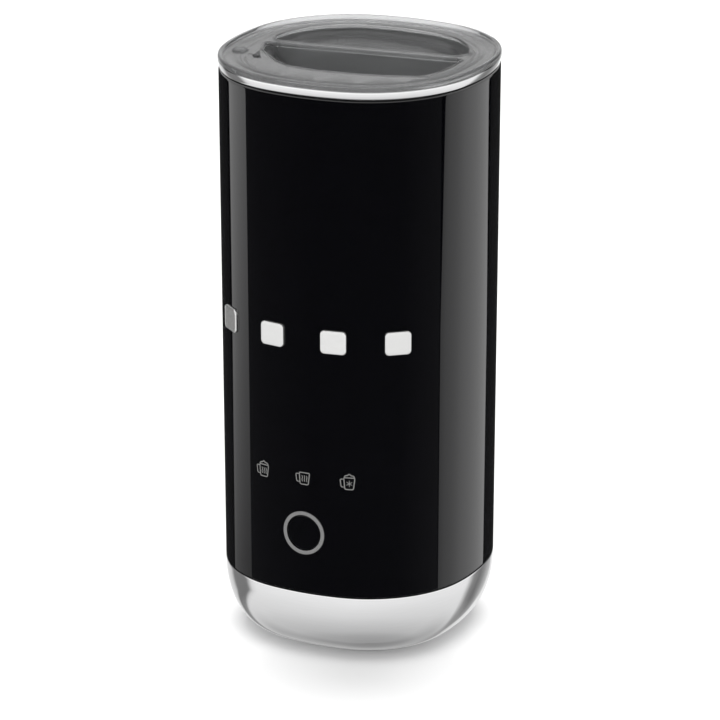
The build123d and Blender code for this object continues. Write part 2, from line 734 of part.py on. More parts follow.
def rotor_core():
    """Wound rotor core and commutator on the shaft."""
    core = tube(CAN_RADIUS - 4.2, SHAFT_RADIUS, CAN_LOW + 8, CAN_HIGH - 6)
    for at in around(3, CAN_RADIUS - 4.2, 30):
        core = core - block(at[0] - 1, at[0] + 1, at[1] - 1, at[1] + 1, CAN_LOW, CAN_HIGH)
    return core + tube(3.2, SHAFT_RADIUS, CAN_LOW + 3, CAN_LOW + 8)


def magnet_carrier():
    """Moulded disc on the shaft that holds the drive magnets under the jug."""
    hub = post(5.0, CAN_HIGH + 4.4, CARRIER_TOP - 5)
    disc = post(CARRIER_RADIUS, CARRIER_TOP - 5, CARRIER_TOP)
    whole = hub + disc - post(SHAFT_RADIUS, CAN_HIGH, CARRIER_TOP - 4.4)
    for at in around(2, MAGNET_CIRCLE):
        whole = whole - post(MAGNET_RADIUS, CARRIER_TOP - MAGNET_HEIGHT, CARRIER_TOP + 1, at)
    return whole


def drive_magnets():
    """Two round magnets in the carrier's top."""
    low = CARRIER_TOP - MAGNET_HEIGHT
    return joined([post(MAGNET_RADIUS, low, CARRIER_TOP, at) for at in around(2, MAGNET_CIRCLE)])


ARM_ANGLES = (-90, 30, 150)
ARM_REACH = 37.0
GROMMET_CIRCLE = 36.5


def motor_bracket():
    """Three-armed steel plate that hangs the motor in the chassis."""
    plate = post(17, CAN_HIGH, BRACKET_TOP)
    for degrees in ARM_ANGLES:
        arm = Rot(0, 0, degrees) * block(0, ARM_REACH, -6, 6, CAN_HIGH, BRACKET_TOP)
        plate = plate + arm + post(6, CAN_HIGH, BRACKET_TOP, turned(ARM_REACH, degrees))
    plate = plate - post(5.2, CAN_HIGH - 1, BRACKET_TOP + 1)
    for at in around(2, SCREW_CIRCLE, 90):
        plate = plate - post(1.4, CAN_HIGH - 1, BRACKET_TOP + 1, at)
    for at in around(3, GROMMET_CIRCLE, ARM_ANGLES[0]):
        plate = plate - post(3.0, CAN_HIGH - 1, BRACKET_TOP + 1, at)
    return plate


def motor_grommets():
    """Three rubber grommets between the bracket and the chassis lugs."""
    pieces = []
    for at in around(3, GROMMET_CIRCLE, ARM_ANGLES[0]):
        flange = post(4.6, CAN_HIGH - 2.4, CAN_HIGH, at) + post(4.6, BRACKET_TOP, BRACKET_TOP + 1.4, at)
        pieces.append(flange + post(3.0, CAN_HIGH, BRACKET_TOP, at) - post(1.6, 0, 200, at))
    return joined(pieces)


def bracket_screws():
    """Three screws down through the grommets."""
    down = [Pos(*at, BRACKET_TOP + 1.4) * Rot(180, 0, 0) * screw(1.25, 10, 2.8, 1.6)
            for at in around(3, GROMMET_CIRCLE, ARM_ANGLES[0])]
    return joined(down)


def motor_screws():
    """Two screws through the bracket into the can."""
    places = around(2, SCREW_CIRCLE, 90)
    return joined([Pos(*at, BRACKET_TOP) * Rot(180, 0, 0) * screw(1.0, 4, 2.0, 1.2) for at in places])


# ---- chassis ------------------------------------------------------------------------------------------
def inner_frame():
    """Moulded chassis: ring wall, floor, posts, bracket lugs, board rails and screw lugs."""
    lug_top = CAN_HIGH - 2.4
    frame = band(
        (FRAME_IN, FRAME_LOW), (FRAME_OUT, FRAME_LOW), (FRAME_OUT, FRAME_HIGH), (FRAME_IN, FRAME_HIGH)
    )
    frame = frame - block(-25, 25, -60, -30, 34, 82)
    floor = slab(FRAME_IN + 0.2, FRAME_LOW, FRAME_LOW + 2) - post(18, 0, 60)
    frame = frame + (floor - block(-22, 22, -60, -36, 0, 60))
    for side in (-1, 1):
        near, far = side * BOSS_X - 5, side * BOSS_X + 5
        frame = frame - block(near, far, -4.5, 4.5, FRAME_LOW - 1, FRAME_HIGH + 1)
        reach = block(side * 41 - 3.4, side * 41 + 3.4, -6, 6, BOSS_LOW - 2.5, BOSS_LOW)
        lug = reach & slab(FRAME_OUT, BOSS_LOW - 3, BOSS_LOW + 1)
        frame = frame + lug - post(1.7, BOSS_LOW - 5, BOSS_LOW + 3, (side * BOSS_X, 0))
        near, far = side * 23.7 - 1.7, side * 23.7 + 1.7
        frame = frame + block(near, far, -39.7, -35.8, FRAME_LOW, PANEL_HIGH + 2)
    wide, front, back = PANEL_HALF + 0.3, PANEL_Y - 0.1, PANEL_Y + BOARD + 0.1
    frame = frame - block(-wide, wide, front, back, PANEL_LOW - 0.2, PANEL_HIGH + 4)
    for at in corners(POST):
        frame = frame + post(POST_RADIUS, POST_LOW, BOARD_Z, at)
        frame = frame - post(1.35, 0, 16, at) - post(1.1, BOARD_Z - 8, BOARD_Z + 1, at)
    for degrees in ARM_ANGLES:
        lug = Rot(0, 0, degrees) * block(32, 46, -6, 6, lug_top - 10, lug_top)
        frame = frame + (lug & slab(FRAME_IN + 0.2, 0, 200))
        frame = frame - post(1.3, lug_top - 9, lug_top + 1, turned(GROMMET_CIRCLE, degrees))
    return frame


def frame_screws():
    """Two screws from the chassis lugs up into the shell's bosses."""
    return joined([Pos(side * BOSS_X, 0, BOSS_LOW - 2.5) * screw(1.2, 12, 2.6, 1.5) for side in (-1, 1)])


# ---- electronics ----------------------------------------------------------------------------------------
BOARD_TOP = BOARD_Z + BOARD


def power_board():
    """Round mains board on the chassis posts."""
    board = post(BOARD_RADIUS, BOARD_Z, BOARD_TOP) - block(-60, 60, -60, -34.5, 0, 60)
    for at in corners(POST):
        board = board - post(1.5, 0, 60, at)
    return board


def board_screws():
    """Four screws that hold the power board to the posts."""
    places = corners(POST)
    return joined([Pos(*at, BOARD_TOP) * Rot(180, 0, 0) * screw(1.05, 7, 2.4, 1.4) for at in places])


def transformer():
    """Low-voltage transformer: wound bobbin in a core."""
    low, high = BOARD_TOP + 3.5, BOARD_TOP + 12.5
    core = block(-11, 11, 6, 24, BOARD_TOP, BOARD_TOP + 16) - block(-7.5, 7.5, 5, 25, low, high)
    return core + block(-7.5, 7.5, 4.5, 25.5, low, high)


def capacitors():
    """Two electrolytic cans and one film capacitor."""
    pieces = [block(26, 32, -9, 9, BOARD_TOP, BOARD_TOP + 12)]
    for x in (-6, 6):
        can = post(5, BOARD_TOP, BOARD_TOP + 16, (x, -14))
        pieces.append(fillet(can.edges().sort_by(Axis.Z)[-1], 0.8))
    return joined(pieces)


def relay():
    """Heater relay."""
    return chamfer(block(-32, -17, -8, 8, BOARD_TOP, BOARD_TOP + 15).edges().filter_by(Axis.Z), 0.8)


def fuse_link():
    """Glass fuse in two clips."""
    link = Pos(0, -27, BOARD_TOP + 4) * Rot(0, 90, 0) * Cylinder(2.6, 20)
    for side in (-1, 1):
        link = link + block(side * 8 - 1.5, side * 8 + 1.5, -29, -25, BOARD_TOP, BOARD_TOP + 3)
    return link


def control_board():
    """Upright board behind the button and the pictograms."""
    return block(-PANEL_HALF, PANEL_HALF, PANEL_Y, PANEL_Y + BOARD, PANEL_LOW, PANEL_HIGH)


def tact_switch():
    """Square switch body with a round well for its plunger."""
    body = block(-3.1, 3.1, PANEL_Y - 3.4, PANEL_Y, BUTTON_Z - 3.1, BUTTON_Z + 3.1)
    return body - peg(2.0, PLUNGER_FRONT, PLUNGER_BACK - BUTTON_TRAVEL - 0.9, z=BUTTON_Z)


def switch_plunger():
    """Plunger that the button's stem pushes."""
    return peg(1.75, PLUNGER_FRONT, PLUNGER_BACK, z=BUTTON_Z)


def mode_leds():
    """One light behind each pictogram."""
    return joined([block(x - 1.7, x + 1.7, PANEL_Y - 1.2, PANEL_Y, ICON_Z - 1.4, ICON_Z + 1.4)
                   for x in (-ICON_PITCH, 0, ICON_PITCH)])


def light_guide():
    """Clear bar with three stubs that carry the light to the shell's inner face."""
    bar = block(-20, 20, PANEL_Y - 2.8, PANEL_Y - 1.4, ICON_Z - 3.5, ICON_Z + 3.5)
    for x in (-ICON_PITCH, 0, ICON_PITCH):
        bar = bar + peg(2.8, 47, 40.5, x=x, z=ICON_Z)
    inside = skin(-16, -WALL - 0.3, ICON_Z - 6, ICON_Z + 6)
    legs = [block(x - 0.8, x + 0.8, PANEL_Y - 2.8, PANEL_Y, ICON_Z - 3.5, ICON_Z + 3.5) for x in (-9, 9)]
    return (bar & inside) + legs[0] + legs[1]


def heater_leads():
    """Two sleeved wires from the element's terminals down to the power board."""
    wires = []
    for side in (-1, 1):
        x, y = turned(ELEMENT_CIRCLE, 90 - side * (ELEMENT_GAP / 2 + 4))
        foot = (side * 15, 28)
        route = [(x, y, TERMINAL_LOW), (x, y, 88), (side * 16, 26, 68), (*foot, 50), (*foot, BOARD_TOP)]
        wires.append(lead(route, 1.3, 8))
    return joined(wires)


def motor_leads():
    """Two wires from the motor's tabs down to the power board."""
    wires = []
    for side in (-1, 1):
        top, foot = side * TAB_X, side * (TAB_X + 3)
        route = [(top, 0, TAB_LOW), (top, 0, 48.5), (foot, 0, 43.5), (foot, 0, BOARD_TOP)]
        wires.append(lead(route, 0.8, 2.5))
    return joined(wires)


def supply_leads():
    """Three wires from the connector's tails up to the power board's underside."""
    places = [0] + [(outer + inner) / 2 for outer, inner in CONTACT_RINGS]
    return joined([post(0.9, TAIL_TOP, BOARD_Z, (0, y)) for y in places])


def ribbon_cable():
    """Flat cable from the control board round to the power board."""
    back = -PANEL_Y - BOARD
    path = FilletPolyline((-back, 46), (-back + 4.4, 46), (-back + 4.4, BOARD_TOP), radius=1.6)
    strip = Plane.YZ * trace(path, 0.7)
    strip = extrude(strip, 6, both=True)
    return strip & block(-7, 7, -back, -back + 8, BOARD_TOP, 50)


NODES = {
    "outer_shell": outer_shell,
    "chrome_base": chrome_base,
    "rim_ring": rim_ring,
    "bottom_plate": bottom_plate,
    "rubber_feet": rubber_feet,
    "base_screws": base_screws,
    "connector_socket": connector_socket,
    "contact_rings": contact_rings,
    "button_ring": button_ring,
    "button_cap": button_cap,
    "mode_icons": mode_icons,
    "badge_tiles": badge_tiles,
    "jug": jug,
    "jug_gasket": jug_gasket,
    "lid": lid,
    "lid_seal": lid_seal,
    "spindle": spindle,
    "whisk_hub": whisk_hub,
    "whisk_coil": coil_ring,
    "whisk_magnets": whisk_magnets,
    "heater_plate": heater_plate,
    "heater_element": heater_element,
    "thermostat": thermostat,
    "thermal_fuse": thermal_fuse,
    "temperature_sensor": temperature_sensor,
    "element_clamp": element_clamp,
    "motor_can": motor_can,
    "motor_end_cap": motor_end_cap,
    "motor_terminals": motor_terminals,
    "shaft_bushes": shaft_bushes,
    "stator_magnets": stator_magnets,
    "motor_shaft": motor_shaft,
    "rotor_core": rotor_core,
    "magnet_carrier": magnet_carrier,
    "drive_magnets": drive_magnets,
    "motor_bracket": motor_bracket,
    "motor_grommets": motor_grommets,
    "bracket_screws": bracket_screws,
    "motor_screws": motor_screws,
    "inner_frame": inner_frame,
    "frame_screws": frame_screws,
    "power_board": power_board,
    "board_screws": board_screws,
    "transformer": transformer,
    "capacitors": capacitors,
    "relay": relay,
    "fuse_link": fuse_link,
    "control_board": control_board,
    "tact_switch": tact_switch,
    "switch_plunger": switch_plunger,
    "mode_leds": mode_leds,
    "light_guide": light_guide,
    "heater_leads": heater_leads,
    "motor_leads": motor_leads,
    "supply_leads": supply_leads,
    "ribbon_cable": ribbon_cable,
}

os.makedirs("parts", exist_ok=True)
for name, make in NODES.items():
    print(name)
    export_step(make(), f"parts/{name}.step")
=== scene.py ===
"""Looks of the milk frother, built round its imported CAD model, in metres.

+Z is up and the front is -Y. The body's plan is a soft square of eight tangent arcs, and most
outer pieces are a section of (half width, height) points carried round that plan.
"""

import json
import math

import bmesh
import bpy
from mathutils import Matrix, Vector


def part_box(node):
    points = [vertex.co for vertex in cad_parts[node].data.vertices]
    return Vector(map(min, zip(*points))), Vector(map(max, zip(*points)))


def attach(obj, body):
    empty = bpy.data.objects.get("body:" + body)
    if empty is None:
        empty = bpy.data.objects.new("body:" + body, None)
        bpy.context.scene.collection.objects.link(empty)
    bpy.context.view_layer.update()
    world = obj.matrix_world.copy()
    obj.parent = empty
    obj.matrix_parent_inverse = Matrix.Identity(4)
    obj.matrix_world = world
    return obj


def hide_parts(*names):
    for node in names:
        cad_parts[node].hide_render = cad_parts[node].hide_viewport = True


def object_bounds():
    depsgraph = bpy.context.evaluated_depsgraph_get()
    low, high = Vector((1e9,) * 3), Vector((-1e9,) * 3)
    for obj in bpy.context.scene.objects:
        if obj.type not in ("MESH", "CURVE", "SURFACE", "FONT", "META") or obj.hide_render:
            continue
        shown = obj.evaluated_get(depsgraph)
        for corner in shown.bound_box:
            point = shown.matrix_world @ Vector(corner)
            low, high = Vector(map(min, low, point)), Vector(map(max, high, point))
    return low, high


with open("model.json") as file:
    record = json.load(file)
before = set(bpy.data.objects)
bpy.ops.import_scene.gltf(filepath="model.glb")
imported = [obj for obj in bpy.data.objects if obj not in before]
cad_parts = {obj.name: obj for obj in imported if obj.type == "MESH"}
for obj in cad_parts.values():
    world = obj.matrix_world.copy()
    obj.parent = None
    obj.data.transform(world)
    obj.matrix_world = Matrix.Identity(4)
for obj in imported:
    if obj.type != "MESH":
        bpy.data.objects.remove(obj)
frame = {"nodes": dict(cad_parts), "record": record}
CAD_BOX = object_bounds()
MM = 0.001


def low(node):
    """Lowest corner of a CAD node."""
    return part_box(node)[0]


def high(node):
    """Highest corner of a CAD node."""
    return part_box(node)[1]


# ---- the body's plan, from the frame -------------------------------------------------------------
HALF = high("rim_ring").x
SIDE_RADIUS = 1.6615 * HALF
CORNER_RADIUS = 0.8434 * HALF
SIDE_OFFSET = SIDE_RADIUS - HALF
ARC_GAP = SIDE_RADIUS - CORNER_RADIUS
CORNER_OFFSET = (math.sqrt(2 * ARC_GAP**2 - SIDE_OFFSET**2) - SIDE_OFFSET) / 2
JOIN = math.atan2(CORNER_OFFSET, CORNER_OFFSET + SIDE_OFFSET)
SIDE_STEPS = 20
CORNER_STEPS = 36
DRAFT = math.tan(math.radians(0.35))

SHELL_LOW = low("outer_shell").z
SHELL_HIGH = high("outer_shell").z
BASE_TOP = high("chrome_base").z
RIM_TOP = high("rim_ring").z
FOOT = low("bottom_plate").z
WALL = 2.0 * MM


def arc(centre, radius, start, end, steps):
    """Points along an arc, without its last one."""
    angles = [start + (end - start) * i / steps for i in range(steps)]
    return [(centre[0] + radius * math.cos(a), centre[1] + radius * math.sin(a)) for a in angles]


def outline(half, z):
    """Closed loop of the soft square with this half width, at this height."""
    grow = half - HALF
    points = []
    for quarter in range(4):
        start = quarter * math.pi / 2
        middle = start + math.pi / 4
        side = (-SIDE_OFFSET * math.cos(start), -SIDE_OFFSET * math.sin(start))
        reach = CORNER_OFFSET * math.sqrt(2)
        corner = (reach * math.cos(middle), reach * math.sin(middle))
        points += arc(side, SIDE_RADIUS + grow, start - JOIN, start + JOIN, SIDE_STEPS)
        end = start + math.pi / 2 - JOIN
        points += arc(corner, CORNER_RADIUS + grow, start + JOIN, end, CORNER_STEPS)
    return [Vector((x, y, z)) for x, y in points]


def body_half(z):
    """Half width of the body's outer surface at a height."""
    return HALF - DRAFT * (SHELL_HIGH - z)


def wrap(run, z, out):
    """Point this far round the body from the front's middle line, and this far out of its surface."""
    grow = body_half(z) - HALF + out
    side_run = SIDE_RADIUS * JOIN
    if abs(run) <= side_run:
        heading, x, y, radius = abs(run) / SIDE_RADIUS, 0.0, SIDE_OFFSET, SIDE_RADIUS + grow
    else:
        heading = JOIN + (abs(run) - side_run) / CORNER_RADIUS
        x, y, radius = CORNER_OFFSET, -CORNER_OFFSET, CORNER_RADIUS + grow
    across = x + radius * math.sin(heading)
    return Vector((math.copysign(across, run), y - radius * math.cos(heading), z))


def run_of(x):
    """Distance round the body from the front's middle line to the point with this x."""
    side_run = SIDE_RADIUS * JOIN
    if abs(x) <= SIDE_RADIUS * math.sin(JOIN):
        return SIDE_RADIUS * math.asin(x / SIDE_RADIUS)
    heading = math.asin((abs(x) - CORNER_OFFSET) / CORNER_RADIUS)
    return math.copysign(side_run + CORNER_RADIUS * (heading - JOIN), x)


# ---- mesh helpers --------------------------------------------------------------------------------
def rounded(points, steps=4, closed=True):
    """Polygon of (x, y, radius) points, with each corner rounded by its radius."""
    found = []
    last = len(points) - 1
    for i, (x, y, radius) in enumerate(points):
        if radius == 0 or (not closed and i in (0, last)):
            found.append((x, y))
            continue
        here = Vector((x, y))
        back = (Vector(points[i - 1][:2]) - here).normalized()
        ahead = (Vector(points[(i + 1) % len(points)][:2]) - here).normalized()
        half_angle = back.angle(ahead) / 2
        trim = radius / math.tan(half_angle)
        centre = here + (back + ahead).normalized() * (radius / math.sin(half_angle))
        first = here + back * trim - centre
        final = here + ahead * trim - centre
        start = math.atan2(first.y, first.x)
        turn = (math.atan2(final.y, final.x) - start + math.pi) % (2 * math.pi) - math.pi
        for k in range(steps + 1):
            angle = start + turn * k / steps
            found.append((centre.x + radius * math.cos(angle), centre.y + radius * math.sin(angle)))
    return found


def loft(bm, loops, closed=False):
    """Skin through closed loops that all have the same number of points."""
    rings = [[bm.verts.new(p) for p in loop] for loop in loops]
    join_rings(bm, rings, closed)
    return rings


def join_rings(bm, rings, closed=False):
    """Quads between rings of vertices."""
    pairs = list(zip(rings, rings[1:]))
    if closed:
        pairs.append((rings[-1], rings[0]))
    for a, b in pairs:
        for i in range(len(a)):
            j = (i + 1) % len(a)
            bm.faces.new((a[i], a[j], b[j], b[i]))


def ring_edges(bm, ring):
    """Edges of a closed ring of vertices, made where they are missing."""
    found = []
    for i, vert in enumerate(ring):
        after = ring[(i + 1) % len(ring)]
        found.append(bm.edges.get((vert, after)) or bm.edges.new((vert, after)))
    return found


def fill_flat(bm, rings):
    """Flat face between an outer ring and the rings of its holes."""
    edges = [edge for ring in rings for edge in ring_edges(bm, ring)]
    bmesh.ops.triangle_fill(bm, use_beauty=True, use_dissolve=False, edges=edges, normal=(0, 0, 1))


def full_turn(count):
    """Angles evenly spaced round a whole turn."""
    return [2 * math.pi * i / count for i in range(count)]


def circle(radius, z, at, count):
    """Level circle of points."""
    return [Vector((at[0] + radius * math.cos(a), at[1] + radius * math.sin(a), z)) for a in full_turn(count)]


def lathe(bm, section, at, count):
    """Turned shape from (radius, height) points about an upright axis; ends on the axis are closed."""
    off_axis = [p for p in section if p[0] > 0]
    rings = loft(bm, [circle(radius, z, at, count) for radius, z in off_axis])
    for end, ring in ((section[0], rings[0]), (section[-1], rings[-1])):
        if end[0] == 0:
            tip = bm.verts.new((at[0], at[1], end[1]))
            for i in range(count):
                bm.faces.new((ring[i], ring[(i + 1) % count], tip))


def finish_mesh(bm, name, slot, body, nodes, sharp=32):
    """Turns a bmesh into a smooth-shaded piece that rides on a body and stands for CAD nodes."""
    bmesh.ops.remove_doubles(bm, verts=bm.verts, dist=1e-7)
    bmesh.ops.recalc_face_normals(bm, faces=bm.faces)
    mesh = bpy.data.meshes.new(name)
    bm.to_mesh(mesh)
    bm.free()
    mesh.shade_smooth()
    mesh.set_sharp_from_angle(angle=math.radians(sharp))
    piece = bpy.data.objects.new(name, mesh)
    bpy.context.scene.collection.objects.link(piece)
    mesh.materials.append(MATERIALS[slot])
    weighted = piece.modifiers.new("weighted", "WEIGHTED_NORMAL")
    weighted.keep_sharp = True
    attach(piece, body)
    if nodes:
        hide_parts(*nodes)
    return piece


def swept(name, slot, body, nodes, section, sharp=32):
    """Closed section of (half width, height) points carried round the plan."""
    bm = bmesh.new()
    loft(bm, [outline(half, z) for half, z in section], closed=True)
    return finish_mesh(bm, name, slot, body, nodes, sharp)


# ---- materials -----------------------------------------------------------------------------------
def add_node(tree, kind, inputs=None, **settings):
    """New node with its settings and input values."""
    node = tree.nodes.new(kind)
    for key, value in settings.items():
        setattr(node, key, value)
    for key, value in (inputs or {}).items():
        node.inputs[key].default_value = value
    return node


def coordinates(tree, stretch):
    """Object coordinates, scaled along each axis."""
    place = add_node(tree, "ShaderNodeTexCoord")
    mapping = add_node(tree, "ShaderNodeMapping", {"Scale": stretch})
    tree.links.new(place.outputs["Object"], mapping.inputs["Vector"])
    return mapping.outputs["Vector"]


def noise(tree, vector, scale):
    """Noise value at a scale given in features per metre."""
    node = add_node(tree, "ShaderNodeTexNoise", {"Scale": scale, "Detail": 3.0})
    tree.links.new(vector, node.inputs["Vector"])
    return node.outputs["Fac"]


def spread(tree, value, lowest, highest):
    """Remaps a noise value to a range."""
    limits = {"From Min": 0.3, "From Max": 0.7, "To Min": lowest, "To Max": highest}
    node = add_node(tree, "ShaderNodeMapRange", limits)
    tree.links.new(value, node.inputs["Value"])
    return node.outputs["Result"]


def surface(name, colour, rough, metal=0.0, shade=0.08, grain=900.0, relief=0.02,
            stretch=(1, 1, 1), **sockets):
    """Material with noise in its colour and roughness, and fine relief along its grain."""
    material = bpy.data.materials.new(name)
    material.use_nodes = True
    tree = material.node_tree
    shader = tree.nodes["Principled BSDF"]
    shader.inputs["Metallic"].default_value = metal
    for key, value in sockets.items():
        shader.inputs[key.replace("_", " ")].default_value = value
    vector = coordinates(tree, stretch)
    fine = noise(tree, vector, grain)
    broad = noise(tree, vector, grain / 12)
    tree.links.new(spread(tree, fine, rough * 0.8, rough * 1.2), shader.inputs["Roughness"])
    mix = add_node(tree, "ShaderNodeMix", data_type="RGBA")
    mix.inputs["A"].default_value = [c * (1 - shade) for c in colour] + [1]
    mix.inputs["B"].default_value = [min(1, c * (1 + shade)) for c in colour] + [1]
    tree.links.new(spread(tree, broad, 0, 1), mix.inputs["Factor"])
    tree.links.new(mix.outputs["Result"], shader.inputs["Base Color"])
    bump = add_node(tree, "ShaderNodeBump", {"Strength": relief, "Distance": 0.0002})
    tree.links.new(fine, bump.inputs["Height"])
    tree.links.new(bump.outputs["Normal"], shader.inputs["Normal"])
    return material


BRUSH_ROUND = (1, 1, 30)         # grain that runs level round the body
CLEAR = 0.86                     # share of the light that the clear plastics let through
MATERIALS = {
    "black_gloss": surface("black_gloss", (0.0032, 0.0032, 0.0046), 0.03, grain=1500, relief=0.0015,
                           IOR=1.5),
    "chrome": surface("chrome", (0.93, 0.93, 0.935), 0.09, 1.0, 0.01, 1200, 0.004, BRUSH_ROUND),
    "satin_metal": surface("satin_metal", (0.27, 0.27, 0.27), 0.3, 1.0, 0.04, 2500, 0.03),
    "bright_metal": surface("bright_metal", (0.86, 0.86, 0.85), 0.28, 1.0, 0.03, 2200, 0.03, BRUSH_ROUND),
    "printed_grey": surface("printed_grey", (0.2, 0.2, 0.195), 0.5, 0.0, 0.06, 4000, 0.05),
    "black_matte": surface("black_matte", (0.02, 0.02, 0.022), 0.45, 0.0, 0.15, 3000, 0.12),
    "rubber": surface("rubber", (0.03, 0.03, 0.03), 0.7, 0.0, 0.2, 2500, 0.15, Sheen_Weight=0.1),
    "silicone": surface("silicone", (0.62, 0.63, 0.64), 0.45, 0.0, 0.05, 900, 0.04,
                        Transmission_Weight=0.3),
    "smoke_clear": surface("smoke_clear", (0.64, 0.645, 0.65), 0.03, 0.0, 0.02, 500, 0.004,
                           Transmission_Weight=CLEAR, IOR=1.5),
    "brushed_steel": surface("brushed_steel", (0.62, 0.615, 0.605), 0.24, 1.0, 0.05, 700, 0.05, BRUSH_ROUND),
    "spring_steel": surface("spring_steel", (0.75, 0.75, 0.74), 0.14, 1.0, 0.05, 1500, 0.02),
    "screw_steel": surface("screw_steel", (0.6, 0.6, 0.61), 0.28, 1.0, 0.12, 1800, 0.05),
    "zinc_steel": surface("zinc_steel", (0.58, 0.59, 0.61), 0.32, 1.0, 0.18, 420, 0.05),
    "aluminium": surface("aluminium", (0.74, 0.75, 0.76), 0.34, 1.0, 0.08, 600, 0.08),
    "brass": surface("brass", (0.78, 0.58, 0.27), 0.24, 1.0, 0.12, 900, 0.03),
    "bronze": surface("bronze", (0.52, 0.36, 0.2), 0.5, 1.0, 0.2, 3500, 0.2),
    "magnet": surface("magnet", (0.7, 0.7, 0.69), 0.16, 1.0, 0.05, 900, 0.02),
    "ferrite": surface("ferrite", (0.07, 0.07, 0.075), 0.62, 0.0, 0.3, 2600, 0.25),
    "copper_core": surface("copper_core", (0.62, 0.3, 0.16), 0.35, 0.8, 0.3, 500, 0.5, (8, 8, 1)),
    "white_plastic": surface("white_plastic", (0.74, 0.73, 0.68), 0.42, 0.0, 0.05, 1200, 0.05),
    "frame_plastic": surface("frame_plastic", (0.27, 0.28, 0.29), 0.5, 0.0, 0.1, 2200, 0.12),
    "board_green": surface("board_green", (0.02, 0.13, 0.055), 0.3, 0.0, 0.5, 900, 0.05, (3, 1, 1)),
    "transformer_yellow": surface("transformer_yellow", (0.68, 0.5, 0.1), 0.4, 0.0, 0.12, 500, 0.1,
                                  BRUSH_ROUND),
    "capacitor_sleeve": surface("capacitor_sleeve", (0.03, 0.045, 0.13), 0.3, 0.0, 0.1, 700, 0.03),
    "relay_blue": surface("relay_blue", (0.05, 0.13, 0.36), 0.38, 0.0, 0.08, 1600, 0.06),
    "led_white": surface("led_white", (0.85, 0.85, 0.75), 0.25, 0.0, 0.04, 1500, 0.02),
    "clear_guide": surface("clear_guide", (0.85, 0.87, 0.88), 0.08, 0.0, 0.02, 700, 0.01,
                           Transmission_Weight=CLEAR, IOR=1.49),
    "lead_red": surface("lead_red", (0.4, 0.035, 0.03), 0.42, 0.0, 0.12, 1500, 0.06),
    "lead_black": surface("lead_black", (0.025, 0.025, 0.025), 0.42, 0.0, 0.15, 1500, 0.06),
    "lead_brown": surface("lead_brown", (0.16, 0.07, 0.03), 0.42, 0.0, 0.12, 1500, 0.06),
    "ribbon_grey": surface("ribbon_grey", (0.48, 0.49, 0.51), 0.45, 0.0, 0.25, 1100, 0.15, (1, 0.05, 0.05)),
}


def dress_nodes():
    """Gives every CAD node its slot's material."""
    for part in frame["record"]["subparts"]:
        frame["nodes"][part["node"]].data.materials[0] = MATERIALS[part["material_slot"]]


# ---- shell ---------------------------------------------------------------------------------------
BUTTON_Z = (low("button_ring").z + high("button_ring").z) / 2
BEZEL_OUTER = high("button_ring").x
BEZEL_INNER = BEZEL_OUTER - 1.45 * MM
PATCH = 8                        # columns and rows each side of the button that are recut round its hole
PATCH_STEP = 2 * SIDE_RADIUS * JOIN / SIDE_STEPS
EDGE = 0.4 * MM                  # round of the shell's bottom edge
SHOULDER = 0.9 * MM              # round of the shell's top edge
PLAIN_END = 3 * MM               # shell wall at each end without level rows of its own


def cut_hole(bm, rings, first_row, out, radius):
    """Swaps the quads round the button for a patch that runs from the grid to a circle.

    Gives the circle's vertices and their directions from the button's axis.
    """
    middle = 3 * (SIDE_STEPS + CORNER_STEPS) + SIDE_STEPS // 2
    columns = range(middle - PATCH, middle + PATCH + 1)
    rows = rings[first_row:first_row + 2 * PATCH + 1]
    inside = {vert for row in rows[1:-1] for vert in (row[c] for c in list(columns)[1:-1])}
    bmesh.ops.delete(bm, geom=list(inside), context="VERTS")
    border = [(c, 0) for c in columns[:-1]]
    border += [(columns[-1], r) for r in range(2 * PATCH)]
    border += [(c, 2 * PATCH) for c in reversed(columns[1:])]
    border += [(columns[0], r) for r in range(2 * PATCH, 0, -1)]
    outer = [rows[r][c] for c, r in border]
    places = [((c - middle) * PATCH_STEP, (r - PATCH) * PATCH_STEP) for c, r in border]
    made = []
    for share in (0.25, 0.5, 0.72, 0.9, 1.0):
        ring = []
        for x, z in places:
            scale = 1 + share * (radius / math.hypot(x, z) - 1)
            ring.append(bm.verts.new(wrap(x * scale, BUTTON_Z + z * scale, out)))
        made.append(ring)
    join_rings(bm, [outer] + made)
    return made[-1], [(x / math.hypot(x, z), z / math.hypot(x, z)) for x, z in places]


